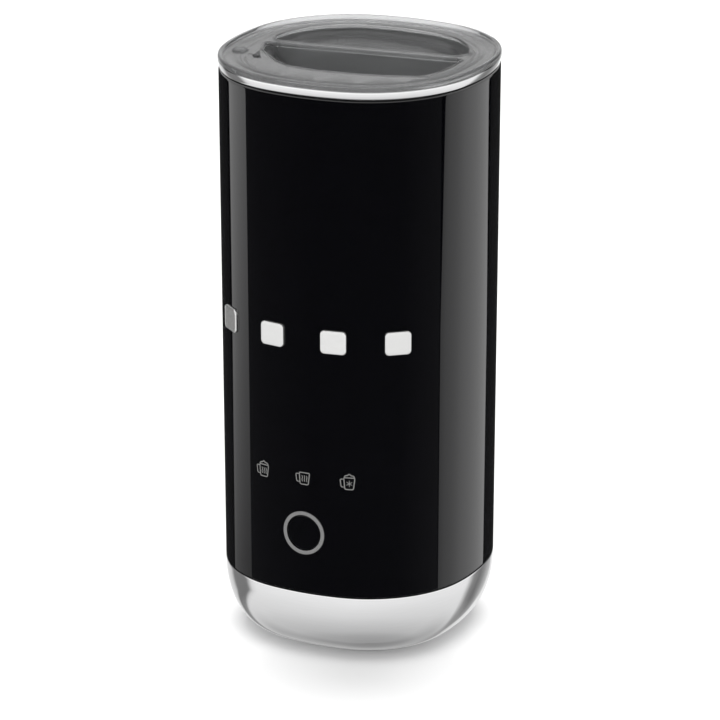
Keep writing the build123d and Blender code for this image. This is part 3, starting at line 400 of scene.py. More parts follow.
def body_shell():
    """Gloss skin with rounded ends, its button hole with a soft edge, and the bosses inside."""
    steps = [BUTTON_Z + (r - PATCH) * PATCH_STEP for r in range(2 * PATCH + 1)]
    lower = [SHELL_LOW + PLAIN_END]
    upper_rows = 14
    upper_span = SHELL_HIGH - PLAIN_END - steps[-1]
    upper = [steps[-1] + upper_span * i / upper_rows for i in range(1, upper_rows + 1)]
    levels = lower + steps + upper
    corner = [
        (0.0, SHELL_LOW, EDGE),
        (0.0, SHELL_HIGH, SHOULDER),
        (-WALL, SHELL_HIGH, EDGE / 2),
        (-WALL, SHELL_LOW, EDGE / 2),
    ]
    soft = rounded(corner, 5)
    per = 6                      # points that each rounded corner has
    section = soft[:per] + [(0.0, z) for z in levels] + soft[per:3 * per]
    section += [(-WALL, z) for z in reversed(levels)] + soft[3 * per:]
    bm = bmesh.new()
    rings = loft(bm, [outline(body_half(z) + out, z) for out, z in section], closed=True)
    bm.verts.ensure_lookup_table()
    first = per + len(lower)
    hole = BEZEL_OUTER + 0.02 * MM
    front, turns = cut_hole(bm, rings, first, 0.0, hole + 0.2 * MM)
    back_rows = rings[3 * per + len(levels):3 * per + 2 * len(levels)][::-1]
    back, _ = cut_hole(bm, back_rows, len(lower), -WALL, hole)
    side = []
    for radius, out in ((0.14, -0.02), (0.06, -0.08), (0.0, -0.2), (0.0, -1.0)):
        reach = hole + radius * MM
        side.append([bm.verts.new(wrap(x * reach, BUTTON_Z + z * reach, out * MM)) for x, z in turns])
    join_rings(bm, [front] + side + [back])
    head_radius = 2.6 * MM
    boss_foot = SHELL_LOW + 17.64 * MM
    boss = [(1.25, 0), (3.3, 0), (3.3, 15.5), (2.8, 16), (0, 16)]
    for x in (low("frame_screws").x, high("frame_screws").x):
        at = (math.copysign(abs(x) - head_radius, x), 0)
        lathe(bm, [(r * MM, boss_foot + h * MM) for r, h in boss], at, 32)
    return finish_mesh(bm, "body_shell", "black_gloss", "body", ["outer_shell"])


# ---- bowl and rim --------------------------------------------------------------------------------
def base_bowl():
    """Polished bowl: a quarter ellipse in section, a rolled top edge and the inner ledge."""
    flat, ledge = 33.4 * MM, 30.5 * MM
    wide = body_half(BASE_TOP) - flat
    tall = BASE_TOP - FOOT
    thick, floor_thick = 1.2 * MM, 2.4 * MM
    steps = 28
    short = 0.03                 # angle that the ellipse stops short of its top, for the lip
    outer = []
    for i in range(steps + 1):
        angle = -math.pi / 2 + (math.pi / 2 - short) * i / steps
        outer.append((flat + wide * math.cos(angle), BASE_TOP + tall * math.sin(angle)))
    lip = [(0.0, -0.25), (-0.06, -0.1), (-0.25, 0.0), (-0.95, 0.0), (-1.14, -0.1), (-1.2, -0.25)]
    top = [(flat + wide + x * MM, BASE_TOP + z * MM) for x, z in lip]
    inner = []
    for i in range(steps + 1):
        angle = -short - (math.pi / 2 - short) * i / steps
        across, up = (wide - thick) * math.cos(angle), (tall - floor_thick) * math.sin(angle)
        inner.append((flat + across, BASE_TOP + up))
    step = [(ledge, 3.2 * MM), (ledge, 2.2 * MM), (flat, 2.2 * MM)]
    return swept("base_bowl", "chrome", "body", ["chrome_base"], outer + top + inner + step)


def mouth_ring():
    """Bright ring round the mouth, with soft outer edges."""
    low_z = low("rim_ring").z
    seam = 210.8 * MM
    seat = 211.4 * MM
    pocket = 47.0 * MM
    neck = HALF - 3.9 * MM
    sleeve = HALF - 2.2 * MM
    roll = 8.0 * MM
    brow = 0.34 * MM
    face = [(HALF - 0.33 * MM, RIM_TOP), (HALF - 0.1 * MM, RIM_TOP - 0.1 * MM), (HALF, RIM_TOP - brow)]
    for k in range(1, 8):
        tilt = math.radians(2.2 * k)
        face.append((HALF - roll * (1 - math.cos(tilt)), RIM_TOP - brow - roll * math.sin(tilt)))
    under = face[-1][0]
    section = [
        (neck, low_z),
        (sleeve, low_z),
        (sleeve, seam),
        (under - 0.12 * MM, seam),
    ]
    section += face[::-1] + [(pocket, RIM_TOP), (pocket, seat), (neck, seat)]
    return swept("mouth_ring", "chrome", "body", ["rim_ring"], section)


# ---- lid -----------------------------------------------------------------------------------------
PLATEAU = 214.5 * MM
PLATEAU_UNDER = 212.9 * MM
WELL_HALF = 38.6 * MM
WELL_FLOOR = 204.5 * MM
WELL_UNDER = low("lid").z
LIP_TOP = high("lid").z
LIP_HALF = high("lid").x
LOOP_STEPS = 180
WELL_SLOPE = 9 * MM              # how far a well's foot lies inside its rim
NEAR_SLOPE = 0.45                # share of that slope at the front well's near edge
NEAR_MARGIN = 1.6 * MM           # how far the near edge lies outside its points
BEAD = [(1.3, 0.0), (1.15, 0.05), (0.95, 0.2), (0.75, 0.28),     # distance out of a well's rim and
        (0.5, 0.26), (0.25, 0.1), (0.08, -0.15), (0.0, -0.5)]    # height over the plateau, in millimetres


def tangent(theta, half):
    """Distance from the axis to the plan's tangent line that faces this direction."""
    turn = (theta + math.pi / 4) % (math.pi / 2) - math.pi / 4
    grow = half - HALF
    if abs(turn) <= JOIN:
        return -SIDE_OFFSET * math.cos(turn) + SIDE_RADIUS + grow
    return CORNER_OFFSET * math.sqrt(2) * math.cos(math.pi / 4 - abs(turn)) + CORNER_RADIUS + grow


def clipped(polygon, theta, distance):
    """The part of a convex polygon behind a line."""
    normal = Vector((math.cos(theta), math.sin(theta)))
    found = []
    for i, p in enumerate(polygon):
        q = polygon[(i + 1) % len(polygon)]
        before, after = p.dot(normal) - distance, q.dot(normal) - distance
        if before <= 0:
            found.append(p)
        if before * after < 0:
            found.append(p + (q - p) * (before / (before - after)))
    return found


class Region:
    """Convex plan region: the soft square cut by straight lines, its corners rounded."""

    def __init__(self, half, cuts, corner):
        big = 2 * HALF
        core = [Vector(p) for p in ((-big, -big), (big, -big), (big, big), (-big, big))]
        if half:
            for k in range(LOOP_STEPS):
                theta = 2 * math.pi * k / LOOP_STEPS
                core = clipped(core, theta, tangent(theta, half) - corner)
        for theta, distance in cuts:
            core = clipped(core, theta, distance - corner)
        self.core = core
        self.corner = corner

    def loop(self, grow, z):
        """The region's edge, moved outward by grow, at a height."""
        points = []
        for k in range(LOOP_STEPS):
            theta = 2 * math.pi * (k + 0.5) / LOOP_STEPS
            normal = Vector((math.cos(theta), math.sin(theta)))
            spot = max(self.core, key=normal.dot) + normal * (self.corner + grow)
            points.append(Vector((spot.x, spot.y, z)))
        return points


def line(start, end):
    """Direction and distance of the line through two points, facing right of the way from start to end."""
    (x0, y0), (x1, y1) = start, end
    theta = math.atan2(x0 - x1, y1 - y0)
    return theta, x0 * math.cos(theta) + y0 * math.sin(theta)


def scoop(bm, rim, foot, edge, start, depth):
    """Skin of a finger well: its edge from outside in, then a wall that eases into the floor.

    Gives the outermost ring of vertices, which the plateau's face joins.
    """
    profile = [(0.0, grow * MM, start + rise * MM) for grow, rise in edge]
    drop = start - profile[-1][2]
    wall_steps = 10
    for k in range(1, wall_steps + 1):
        angle = math.pi / 2 * k / wall_steps
        profile.append((1 - math.cos(angle), 0.0, start - drop - (depth - drop) * math.sin(angle)))
    loops = []
    for share, grow, z in profile:
        outer, inner = rim.loop(grow, z), foot.loop(0.0, z)
        loops.append([a.lerp(b, share) for a, b in zip(outer, inner)])
    rings = loft(bm, loops)
    bm.faces.new(rings[-1])
    return rings[0]


def wells(grow):
    """Rim and foot regions of the rear and front finger wells, with their walls moved outward by grow."""
    rear_line = line((34 * MM, 10.25 * MM), (-34 * MM, 2.65 * MM))
    front_line = line((-34 * MM, -1.25 * MM), (34 * MM, 6.35 * MM))
    rear_cut = (rear_line[0] + math.pi, -rear_line[1] + grow)
    front_cut = (front_line[0] + math.pi, -front_line[1] + grow)
    blade_draft = 0.8 * MM
    bay = HALF - 11.6 * MM + grow
    rear_corner, front_corner = 5 * MM, 1.6 * MM
    near = [(-35, -1), (-31.7, -9.6), (-20.8, -21), (-14.5, -25.1), (-4.6, -26.5),
            (8.1, -25.6), (20, -23.4), (31.3, -19.2), (36.7, -14.2)]
    found = []
    for width, draft in ((0.0, 0.0), (WELL_SLOPE, blade_draft)):
        rear = Region(bay - width, [(rear_cut[0], rear_cut[1] - draft)], rear_corner - width / 4 + grow)
        cuts = [(front_cut[0], front_cut[1] - draft)]
        for first, second in zip(near, near[1:]):
            theta, distance = line(Vector(first) * MM, Vector(second) * MM)
            cuts.append((theta, distance + NEAR_MARGIN + grow - width * NEAR_SLOPE))
        front = Region(bay - width, cuts, front_corner + grow + width / 5)
        found.append((rear, front))
    (rear, front), (rear_foot, front_foot) = found
    return (rear, rear_foot), (front, front_foot)


def clear_lid():
    """Clear lid: rounded lip, plateau, two finger wells either side of the grip blade, vent and bump."""
    bm = bmesh.new()
    skirt = WELL_HALF + 1.8 * MM
    seal = (low("lid_seal").z + high("lid_seal").z) / 2
    spigot = 46.6 * MM
    plain = 41.0 * MM
    outside = [
        (plain, PLATEAU - 0.1 * MM, 0),
        (43.2 * MM, PLATEAU - 0.25 * MM, 2 * MM),
        (46.3 * MM, PLATEAU, 0.8 * MM),
        (LIP_HALF - 1.7 * MM, LIP_TOP, 0.55 * MM),
        (LIP_HALF, LIP_TOP, 1.0 * MM),
        (LIP_HALF, RIM_TOP + 0.02 * MM, 0.2 * MM),
        (spigot, RIM_TOP + 0.02 * MM, 0),
        (spigot, PLATEAU_UNDER, 0.3 * MM),
        (skirt, PLATEAU_UNDER, 0.6 * MM),
        (skirt - 0.2 * MM, seal + 1.2 * MM, 0),
        (skirt - 1.1 * MM, seal + 1.2 * MM, 0),
        (skirt - 1.1 * MM, seal - 1.2 * MM, 0),
        (skirt - 0.4 * MM, seal - 1.2 * MM, 0),
        (skirt - 0.8 * MM, WELL_UNDER + 1.6 * MM, 0.5 * MM),
        (skirt - 1.2 * MM, WELL_UNDER, 0.3 * MM),
        (skirt - 2.0 * MM, WELL_UNDER, 0.3 * MM),
        (skirt - 1.8 * MM, PLATEAU_UNDER, 0),
    ]
    rings = loft(bm, [outline(half, z) for half, z in rounded(outside, 7, closed=False)])
    for vert in rings[0]:
        vert.co.z = PLATEAU
    holes, bulges = [], []
    well_wall = 1.5 * MM
    bulge_depth = PLATEAU_UNDER - WELL_UNDER - 0.1 * MM
    for rim, foot in wells(0.0):
        holes.append(scoop(bm, rim, foot, BEAD, PLATEAU, PLATEAU - WELL_FLOOR))
    for rim, foot in wells(well_wall):
        bulges.append(scoop(bm, rim, foot, [(0, 0)], PLATEAU_UNDER, bulge_depth))

    slot = Region(None, vent_cuts(), 1.1 * MM)
    vent_edge = [(0.4, PLATEAU), (0.12, PLATEAU - 0.12 * MM), (0, PLATEAU - 0.4 * MM), (0, PLATEAU_UNDER)]
    vent = loft(bm, [slot.loop(grow * MM, z) for grow, z in vent_edge])
    holes.append(vent[0])
    bulges.append(vent[-1])

    fill_flat(bm, [rings[0]] + holes)
    fill_flat(bm, [rings[-1]] + bulges)
    bump_at = (-39.8 * MM, -15.2 * MM)
    bump = [(0, -0.5), (3.0, -0.5), (3.0, 0.0), (2.9, 0.25), (2.5, 0.65), (1.9, 0.95), (1.0, 1.15), (0, 1.2)]
    lathe(bm, [(r * MM, PLATEAU + z * MM) for r, z in bump], bump_at, 48)
    return finish_mesh(bm, "clear_lid", "smoke_clear", "lid", ["lid"], 28)


def vent_cuts():
    """Straight sides of the steam slot beside the front well."""
    heading = math.atan2(-31, 22)
    along = Vector((math.cos(heading), math.sin(heading)))
    across = Vector((-math.sin(heading), math.cos(heading)))
    spot = Vector((-31 * MM, -20 * MM))
    long, wide = 2.5 * MM, 1.2 * MM
    return [
        (heading, spot.dot(along) + long),
        (heading + math.pi, long - spot.dot(along)),
        (heading + math.pi / 2, spot.dot(across) + wide),
        (heading - math.pi / 2, wide - spot.dot(across)),
    ]


# ---- button, pictograms and tiles ----------------------------------------------------------------
BUTTON_TURN = full_turn(96)


def on_face(section):
    """Loops round the button's axis from (radius, distance out of the body's surface) points."""
    return [[wrap(radius * math.cos(a), BUTTON_Z + radius * math.sin(a), out) for a in BUTTON_TURN]
            for radius, out in section]


def button_bezel():
    """Satin ring with rounded edges that follows the body's curve."""
    proud, deep, soft = 0.12 * MM, -2.8 * MM, 0.12 * MM
    outer = BEZEL_OUTER - 0.02 * MM
    section = [
        (BEZEL_INNER, deep, 0),
        (outer, deep, 0),
        (outer, proud, soft),
        (BEZEL_INNER, proud, soft),
    ]
    bm = bmesh.new()
    loft(bm, on_face(rounded(section, 4)), closed=True)
    return finish_mesh(bm, "button_bezel", "satin_metal", "body", ["button_ring"])


def push_button():
    """Gloss cap with a soft edge, its flange and stem behind."""
    face = BEZEL_INNER - 0.25 * MM
    sink = -0.25 * MM
    section = [
        (0.4 * face, sink, 0),
        (0.8 * face, sink, 0),
        (face, sink, 0.3 * MM),
        (face, -3.6 * MM, 0),
    ]
    bm = bmesh.new()
    loops = on_face(rounded(section, 5, closed=False))
    rear = high("button_cap").y
    flange, stem = 7.35 * MM, 2.0 * MM
    for radius, ahead in ((flange, 1.25), (flange, 0.4), (stem, 0.4), (stem, 0.0)):
        loops.append([Vector((radius * math.cos(a), rear - ahead * MM, BUTTON_Z + radius * math.sin(a)))
                      for a in BUTTON_TURN])
    rings = loft(bm, loops)
    for ring in (rings[0], rings[-1]):
        bm.faces.new(ring)
    return finish_mesh(bm, "push_button", "black_gloss", "button", ["button_cap"])


def smooth_path(points):
    """Rounds an open polyline by cutting its corners twice."""
    for _ in range(2):
        found = [points[0]]
        for (x0, y0), (x1, y1) in zip(points, points[1:]):
            found.append((x0 * 0.75 + x1 * 0.25, y0 * 0.75 + y1 * 0.25))
            found.append((x0 * 0.25 + x1 * 0.75, y0 * 0.25 + y1 * 0.75))
        points = found + [points[-1]]
    return points


def print_line(bm, points, middle, closed=False, width=0.42 * MM):
    """Low crowned line of ink along a path drawn in millimetres about a point of the body's face."""
    path = [Vector(p) * MM for p in points]
    count = len(path)
    height = 0.1 * MM
    taper = 0.6                  # share of the width that an open end has
    rings = []
    for i, p in enumerate(path):
        before = path[i - 1] if i or closed else p
        after = path[(i + 1) % count] if i < count - 1 or closed else p
        side = (after - before).normalized()
        side = Vector((-side.y, side.x)) * (width / 2)
        if not closed and i in (0, count - 1):
            side = side * taper
        ring = []
        for share, out in ((-1, 0.0), (-0.75, 0.8), (0, 1.0), (0.75, 0.8), (1, 0.0)):
            spot = p + side * share
            ring.append(bm.verts.new(wrap(middle[0] + spot.x, middle[1] + spot.y, out * height)))
        rings.append(ring)
    join_rings(bm, rings, closed)
    if not closed:
        bm.faces.new(rings[0])
        bm.faces.new(rings[-1])


def mode_prints():
    """Three printed pictograms: hot foam, hot milk, cold foam."""
    cup = rounded([(-1.5, 2.2, 0.35), (-1.15, -2.2, 0.6), (2.05, -2.2, 0.6), (2.6, 2.2, 0.35)])
    handle = [(-1.45, 1.6, 0), (-2.9, 1.6, 0.5), (-2.5, -1.35, 0.5), (-1.2, -1.35, 0)]
    handle = rounded(handle, closed=False)
    dome = [(-1.35, 2.3), (-1.0, 3.0), (-0.2, 3.0), (0.5, 3.75), (1.2, 3.0), (2.1, 3.0), (2.45, 2.3)]
    fine = 0.32 * MM
    star_x, star_reach = 0.55, 1.25
    bm = bmesh.new()
    centre_z = (low("mode_icons").z + high("mode_icons").z) / 2 - 0.75 * MM
    reach = high("mode_icons").x - 2.85 * MM
    for place in (-1, 0, 1):
        middle = (run_of(place * reach), centre_z)
        print_line(bm, cup, middle, closed=True)
        print_line(bm, handle, middle)
        if place:
            print_line(bm, smooth_path(dome), middle)
        if place < 1:
            for start in (-0.45, 0.45, 1.35):
                wave = [(start, 1.2), (start + 0.3, 0.4), (start, -0.3), (start + 0.25, -1.15)]
                print_line(bm, smooth_path(wave), middle, width=fine)
        else:
            for degrees in (30, 90, 150):
                angle = math.radians(degrees)
                x, y = star_reach * math.cos(angle), star_reach * math.sin(angle)
                print_line(bm, [(star_x - x, -y), (star_x, 0), (star_x + x, y)], middle, width=fine)
    return finish_mesh(bm, "mode_prints", "printed_grey", "body", ["mode_icons"], 60)


def metal_tiles():
    """Four plain bevelled metal tiles round the front."""
    wide, tall, corner = 4.8 * MM, 4.3 * MM, 1.6 * MM
    spacing = 1.02               # widens the row a little over the angles' own places
    centre_z = (low("badge_tiles").z + high("badge_tiles").z) / 2
    square = Region(None, [(0, wide), (math.pi / 2, tall), (math.pi, wide), (-math.pi / 2, tall)], corner)
    profile = [(0, 0.0), (0, 0.55), (-0.06, 0.72), (-0.18, 0.84), (-0.35, 0.89), (-1.2, 0.9), (-1.59, 0.9)]
    bm = bmesh.new()
    for degrees in (-41.85, -13.95, 13.95, 41.85):
        angle = math.radians(degrees)
        middle = run_of(HALF * math.sin(angle) * spacing)
        loops = []
        for grow, out in profile:
            loop = square.loop(grow * MM, 0)
            loops.append([wrap(middle + p.x, centre_z + p.y, out * MM) for p in loop])
        rings = loft(bm, loops)
        for ring in (rings[0], rings[-1]):
            bm.faces.new(ring)
    return finish_mesh(bm, "metal_tiles", "bright_metal", "body", ["badge_tiles"])


# ---- whisk, feet and jug -------------------------------------------------------------------------
def spring_ring():
    """Close-wound spring bent into a ring round the whisk's hub."""
    centre_z = (low("whisk_coil").z + high("whisk_coil").z) / 2
    tube = (high("whisk_coil").z - low("whisk_coil").z) / 2
    ring_radius = high("whisk_coil").x - tube
    wire = 0.42 * MM
    coil = tube - wire
    turns, steps, sides = 84, 14, 6
    up = Vector((0, 0, 1))
    bm = bmesh.new()
    loops = []
    for i in range(turns * steps):
        around, twist = 2 * math.pi * i / (turns * steps), 2 * math.pi * i / steps
        outward = Vector((math.cos(around), math.sin(around), 0))
        spoke = outward * math.cos(twist) + up * math.sin(twist)
        spot = outward * ring_radius + up * centre_z + spoke * coil
        forward = up.cross(outward)
        loops.append([spot + (spoke * math.cos(a) + forward * math.sin(a)) * wire for a in full_turn(sides)])
    loft(bm, loops, closed=True)
    return finish_mesh(bm, "spring_ring", "spring_steel", "whisk", ["whisk_coil"], 80)


def soft_feet():
    """Four round pads with rolled edges."""
    pad = 4.0
    circle_radius = high("rubber_feet").x - pad * MM
    section = [(0, 2.0), (pad, 2.0), (pad, 0.35), (3.9, 0.12), (3.65, 0.0),
               (2.2, 0.0), (1.8, 0.18), (0, 0.22)]
    bm = bmesh.new()
    for x, y in ((1, 0), (0, 1), (-1, 0), (0, -1)):
        lathe(bm, [(r * MM, z * MM) for r, z in section], (x * circle_radius, y * circle_radius), 40)
    return finish_mesh(bm, "soft_feet", "rubber", "body", ["rubber_feet"])


def level_marks():
    """Two plain fill lines embossed inside the jug."""
    bm = bmesh.new()
    inner = 41.5 * MM
    section = [(0.05, -0.45), (-0.12, -0.3), (-0.12, 0.3), (0.05, 0.45)]
    for z in (low("jug").z + 38 * MM, low("jug").z + 62 * MM):
        loft(bm, [outline(inner + out * MM, z + up * MM) for out, up in section], closed=True)
    return finish_mesh(bm, "level_marks", "brushed_steel", "body", [])


# ---- camera, floor and light ---------------------------------------------------------------------
STUDIO_RADIUS = 12.0
CARD_DISTANCE = 2.5
CARD_LEVELS = (-2.0, -0.95, -0.72, -0.5, 0.5)    # heights at which the cards' sides may bend
CARD_LOW, CARD_HIGH = CARD_LEVELS[1], CARD_LEVELS[3]


def camera():
    """Long lens that looks down a little from the front right."""
    azimuth, elevation, distance = math.radians(25.2), math.radians(18.793), 1.6552
    target = Vector((0, 0, 0.46 * CAD_BOX[1].z))
    flat = math.cos(elevation)
    back = Vector((math.sin(azimuth) * flat, -math.cos(azimuth) * flat, math.sin(elevation)))
    data = bpy.data.cameras.new("camera")
    data.lens = 228.2
    data.sensor_width = 36
    data.clip_end = 60
    item = bpy.data.objects.new("camera", data)
    item.location = target + back * distance
    item.rotation_euler = (-back).to_track_quat("-Z", "Y").to_euler()
    bpy.context.scene.collection.objects.link(item)
    bpy.context.scene.camera = item


def stage_mesh(name, loops, material):
    """Open grid of points as a stage piece."""
    bm = bmesh.new()
    rows = [[bm.verts.new(p) for p in loop] for loop in loops]
    for a, b in zip(rows, rows[1:]):
        for i in range(len(a) - 1):
            bm.faces.new((a[i], a[i + 1], b[i + 1], b[i]))
    mesh = bpy.data.meshes.new(name)
    bm.to_mesh(mesh)
    bm.free()
    mesh.shade_smooth()
    mesh.materials.append(material)
    item = bpy.data.objects.new(name, mesh)
    bpy.context.scene.collection.objects.link(item)
    return item


def link_light(item, pieces, state):
    """Limits which pieces an emitter lights."""
    group = bpy.data.collections.new(item.name + "_receivers")
    for piece in pieces:
        group.objects.link(piece)
    for entry in group.collection_objects:
        entry.light_linking.link_state = state
    item.light_linking.receiver_collection = group


def ramp(tree, value, stops):
    """Grey colour ramp driven by a value."""
    node = add_node(tree, "ShaderNodeValToRGB")
    while len(node.color_ramp.elements) < len(stops):
        node.color_ramp.elements.new(0.5)
    for element, (at, level) in zip(node.color_ramp.elements, stops):
        element.position = at
        element.color = (level, level, level, 1)
    tree.links.new(value, node.inputs["Fac"])
    return node.outputs["Color"]


def calculate(tree, operation, first, second):
    """Math node on two values, each an output or a number."""
    node = add_node(tree, "ShaderNodeMath", operation=operation)
    for socket, value in zip(node.inputs, (first, second)):
        if isinstance(value, (int, float)):
            socket.default_value = value
        else:
            tree.links.new(value, socket)
    return node.outputs[0]


def floor_material():
    """Matt white with a painted shadow: greyer in a soft round patch in front of the piece, and a little
    greyer far from it.
    """
    material = surface("floor", (0.95, 0.95, 0.95), 0.9, 0.0, 0.004, 20, 0.0)
    tree = material.node_tree
    painted_shadow_centre = (24.7 * MM, -52.5 * MM, 0)
    painted_shadow_span = 0.2            # distance that the ramp covers
    place = add_node(tree, "ShaderNodeTexCoord")
    reach = add_node(tree, "ShaderNodeVectorMath", {1: painted_shadow_centre}, operation="DISTANCE")
    tree.links.new(place.outputs["Object"], reach.inputs[0])
    distance = calculate(tree, "MULTIPLY", reach.outputs["Value"], 1 / painted_shadow_span)
    # painted shadow: the base colour darkens towards the shadow centre in front of the piece, and a little
    # far from it
    level = ramp(tree, distance, [
        (0.0, 0.62), (0.04, 0.64), (0.08, 0.68), (0.13, 0.73), (0.175, 0.78), (0.22, 0.87),
        (0.3, 0.94), (0.5, 0.9), (0.75, 0.8), (1.0, 0.75)])
    tree.links.new(level, tree.nodes["Principled BSDF"].inputs["Base Color"])
    return material


def floor():
    """Pale floor, with a painted shadow in its colour, that mirrors don't see."""
    size = 14.0
    loops = [[Vector((x * size, y * size, 0)) for x in (-1, 0, 1)] for y in (-1, 0, 1)]
    item = stage_mesh("floor", loops, floor_material())
    item.visible_glossy = False
    return item


def sky_material():
    """Soft white light, dim low down and in a band above the horizon, with dark gaps and a shaded rear.

    Heights and turns are shares from 0 to 1: bottom to top, and once round from the rear. The front
    is at a turn of 0.5 and the right at 0.75. The gaps stand at the left and the right rear, and
    swing round at heights under swing_height.
    """
    material = bpy.data.materials.new("studio")
    material.use_nodes = True
    tree = material.node_tree
    tree.nodes.clear()
    place = add_node(tree, "ShaderNodeTexCoord")
    split = add_node(tree, "ShaderNodeSeparateXYZ")
    emit = add_node(tree, "ShaderNodeEmission")
    out = add_node(tree, "ShaderNodeOutputMaterial")
    tree.links.new(place.outputs["Object"], split.inputs[0])
    height = calculate(tree, "MULTIPLY_ADD", split.outputs["Z"], 0.5 / STUDIO_RADIUS)
    height.node.inputs[2].default_value = 0.5
    forward = calculate(tree, "MULTIPLY", split.outputs["Y"], -1.0)
    heading = calculate(tree, "ARCTAN2", split.outputs["X"], forward)
    turn = calculate(tree, "MULTIPLY_ADD", heading, 0.5 / math.pi)
    turn.node.inputs[2].default_value = 0.5
    tone = [(0.0, 0.33), (0.03, 0.39), (0.06, 0.5), (0.12, 0.6), (0.165, 0.68),
            (0.21, 0.73), (0.27, 0.8), (0.37, 0.9), (0.5, 1.05), (0.62, 0.9),
            (0.7, 0.3), (0.79, 0.25), (0.84, 1.5), (0.94, 1.6), (1.0, 0.7)]
    gaps = [(0.0, 0.8), (0.014, 1.05), (0.1, 1.0), (0.165, 0.75), (0.19, 0.24),
            (0.265, 0.22), (0.288, 0.85), (0.31, 1.0), (0.53, 1.05), (0.7, 1.0),
            (0.905, 1.0), (0.925, 0.3), (0.95, 0.2), (0.968, 0.32), (0.994, 0.6)]
    reach = [(0.09, 0.0), (0.17, 0.65), (0.24, 1.0), (0.62, 1.0), (0.78, 0.0)]
    behind = [(0.0, 0.22), (0.2, 0.22), (0.28, 0.0), (0.8, 0.0), (0.9, 0.22), (1.0, 0.22)]
    below = [(0.0, 1.0), (0.1, 1.0), (0.2, 0.0), (0.46, 0.0), (0.5, 2.2), (0.6, 2.2), (0.65, 0.0)]
    swing_height, swing_start, swing_fall = 0.26, 1.9, 2.32
    lower = calculate(tree, "MAXIMUM", calculate(tree, "SUBTRACT", swing_height, height), 0.0)
    swing = calculate(tree, "SUBTRACT", swing_start, calculate(tree, "MULTIPLY", turn, swing_fall))
    follow = calculate(tree, "ADD", turn, calculate(tree, "MULTIPLY", lower, swing))
    open_sky = ramp(tree, follow, gaps)
    gap = calculate(tree, "MULTIPLY", ramp(tree, height, reach), calculate(tree, "SUBTRACT", 1.0, open_sky))
    shade = calculate(tree, "MULTIPLY", ramp(tree, height, below), ramp(tree, turn, behind))
    lit = calculate(tree, "SUBTRACT", 1.0, calculate(tree, "ADD", gap, shade))
    glow = calculate(tree, "MULTIPLY", ramp(tree, height, tone), lit)
    tree.links.new(glow, emit.inputs["Strength"])
    tree.links.new(emit.outputs["Emission"], out.inputs["Surface"])
    return material


def studio(black):
    """Large round tent of soft light that the gloss black doesn't mirror."""
    turns, rows = 48, 24
    loops = []
    for r in range(rows + 1):
        polar = -math.pi / 2 + math.pi * r / rows
        flat, z = STUDIO_RADIUS * math.cos(polar), STUDIO_RADIUS * math.sin(polar)
        angles = [2 * math.pi * i / turns for i in range(turns + 1)]
        loops.append([Vector((flat * math.cos(a), flat * math.sin(a), z)) for a in angles])
    item = stage_mesh("studio", loops, sky_material())
    item.data.flip_normals()
    item.data.materials[0].cycles.emission_sampling = "NONE"
    link_light(item, black, "EXCLUDE")


def card_material(name, strength, fade, across):
    """Glow that fades towards the ground and varies across the card, and hides nothing behind it."""
    material = bpy.data.materials.new(name)
    material.use_nodes = True
    tree = material.node_tree
    tree.nodes.clear()
    place = add_node(tree, "ShaderNodeTexCoord")
    split = add_node(tree, "ShaderNodeSeparateXYZ")
    emit = add_node(tree, "ShaderNodeEmission")
    out = add_node(tree, "ShaderNodeOutputMaterial")
    clear = add_node(tree, "ShaderNodeBsdfTransparent")
    both = add_node(tree, "ShaderNodeAddShader")
    glow = add_node(tree, "ShaderNodeMapRange", {"To Min": fade, "To Max": strength})
    tree.links.new(place.outputs["UV"], split.inputs[0])
    tree.links.new(split.outputs["Y"], glow.inputs["Value"])
    level = calculate(tree, "MULTIPLY", glow.outputs["Result"], ramp(tree, split.outputs["X"], across))
    tree.links.new(level, emit.inputs["Strength"])
    tree.links.new(emit.outputs["Emission"], both.inputs[0])
    tree.links.new(clear.outputs["BSDF"], both.inputs[1])
    tree.links.new(both.outputs["Shader"], out.inputs["Surface"])
    return material


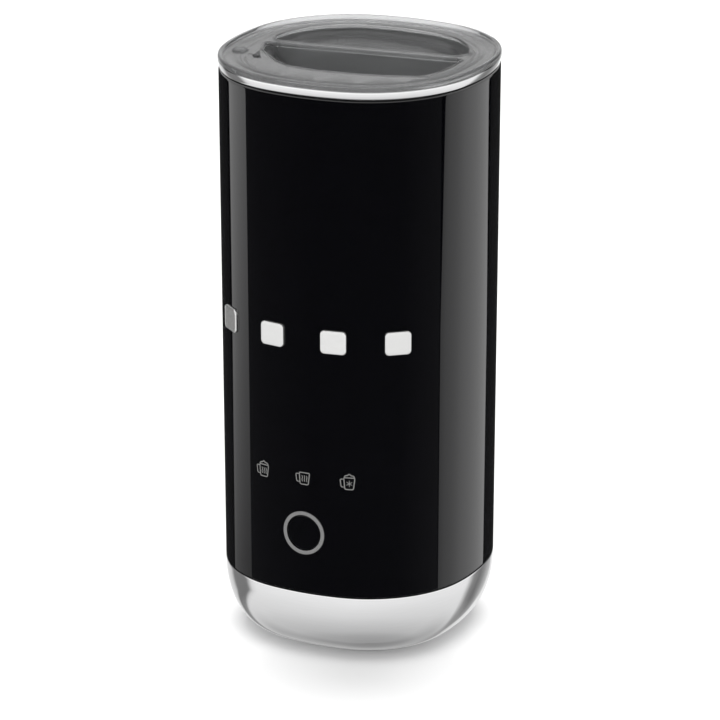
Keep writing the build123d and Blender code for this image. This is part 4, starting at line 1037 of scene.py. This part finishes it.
def card(name, edges, strength, fade, across, black):
    """Upright light for the gloss black: edges gives, for each height, its two directions in degrees.

    Directions are counted from the front towards the right.
    """
    steps = 24
    loops = []
    for z, start, end in edges:
        angles = [math.radians(start + (end - start) * i / steps) for i in range(steps + 1)]
        loops.append([Vector((CARD_DISTANCE * math.sin(a), -CARD_DISTANCE * math.cos(a), z)) for a in angles])
    item = stage_mesh(name, loops, card_material(name, strength, fade, across))
    layer = item.data.uv_layers.new(name="span")
    for loop in item.data.loops:
        height = (item.data.vertices[loop.vertex_index].co.z - CARD_LOW) / (CARD_HIGH - CARD_LOW)
        layer.data[loop.index].uv = ((loop.vertex_index % (steps + 1)) / steps, min(1, max(0, height)))
    for ray in ("camera", "diffuse", "transmission", "shadow", "volume_scatter"):
        setattr(item, "visible_" + ray, False)
    link_light(item, black, "INCLUDE")


def lights(black, ground):
    """Soft tent, cards for the gloss black to mirror, and a soft lamp over the floor."""
    world = bpy.data.worlds.new("world")
    bpy.context.scene.world = world
    world.use_nodes = True
    world.node_tree.nodes["Background"].inputs["Color"].default_value = (0.0, 0.0, 0.0, 1)
    studio(black)
    even = [(0.0, 1.0), (1.0, 1.0)]
    soft = [(0.0, 0.72), (0.12, 0.9), (0.5, 1.0), (1.0, 1.08)]
    hollow = [(0.0, 1.2), (0.3, 0.45), (0.75, 0.5), (1.0, 1.6)]
    left = [(z, start, -72.8) for z, start in zip(CARD_LEVELS, (-106, -106, -103.5, -103, -103))]
    right = [(z, 102.2, 162.8) for z in CARD_LEVELS[:3]] + [(z, 106.0, 160.7) for z in CARD_LEVELS[3:]]
    straight = [z for z in CARD_LEVELS if z != CARD_LEVELS[2]]
    card("strip_left", left, 1.3, 0.45, even, black)
    card("strip_right", right, 1.05, 1.0, soft, black)
    card("glow_front", [(z, -72, 101) for z in straight], 0.05, 0.07, hollow, black)
    card("glow_back", [(z, 164, 253) for z in straight], 0.03, 0.03, even, black)
    card("ceiling", [(z, -180, 180) for z in (0.6, 2.0, 3.0)], 1.5, 1.5, even, black)
    lamp = bpy.data.lights.new("floor_lamp", "AREA")
    lamp.shape = "DISK"
    lamp.size = 2.8
    lamp.energy = 68
    item = bpy.data.objects.new("floor_lamp", lamp)
    item.location = (-0.1, 0.25, 2.55)
    item.rotation_euler = item.location.to_track_quat("Z", "Y").to_euler()
    item.visible_camera = False
    item.visible_glossy = False
    item.visible_transmission = False
    bpy.context.scene.collection.objects.link(item)
    link_light(item, [ground], "INCLUDE")


camera()
dress_nodes()
shell_piece = body_shell()
base_bowl()
mouth_ring()
clear_lid()
button_bezel()
cap_piece = push_button()
mode_prints()
metal_tiles()
spring_ring()
soft_feet()
level_marks()
lights([shell_piece, cap_piece], floor())
bpy.context.scene.view_settings.view_transform = "Standard"
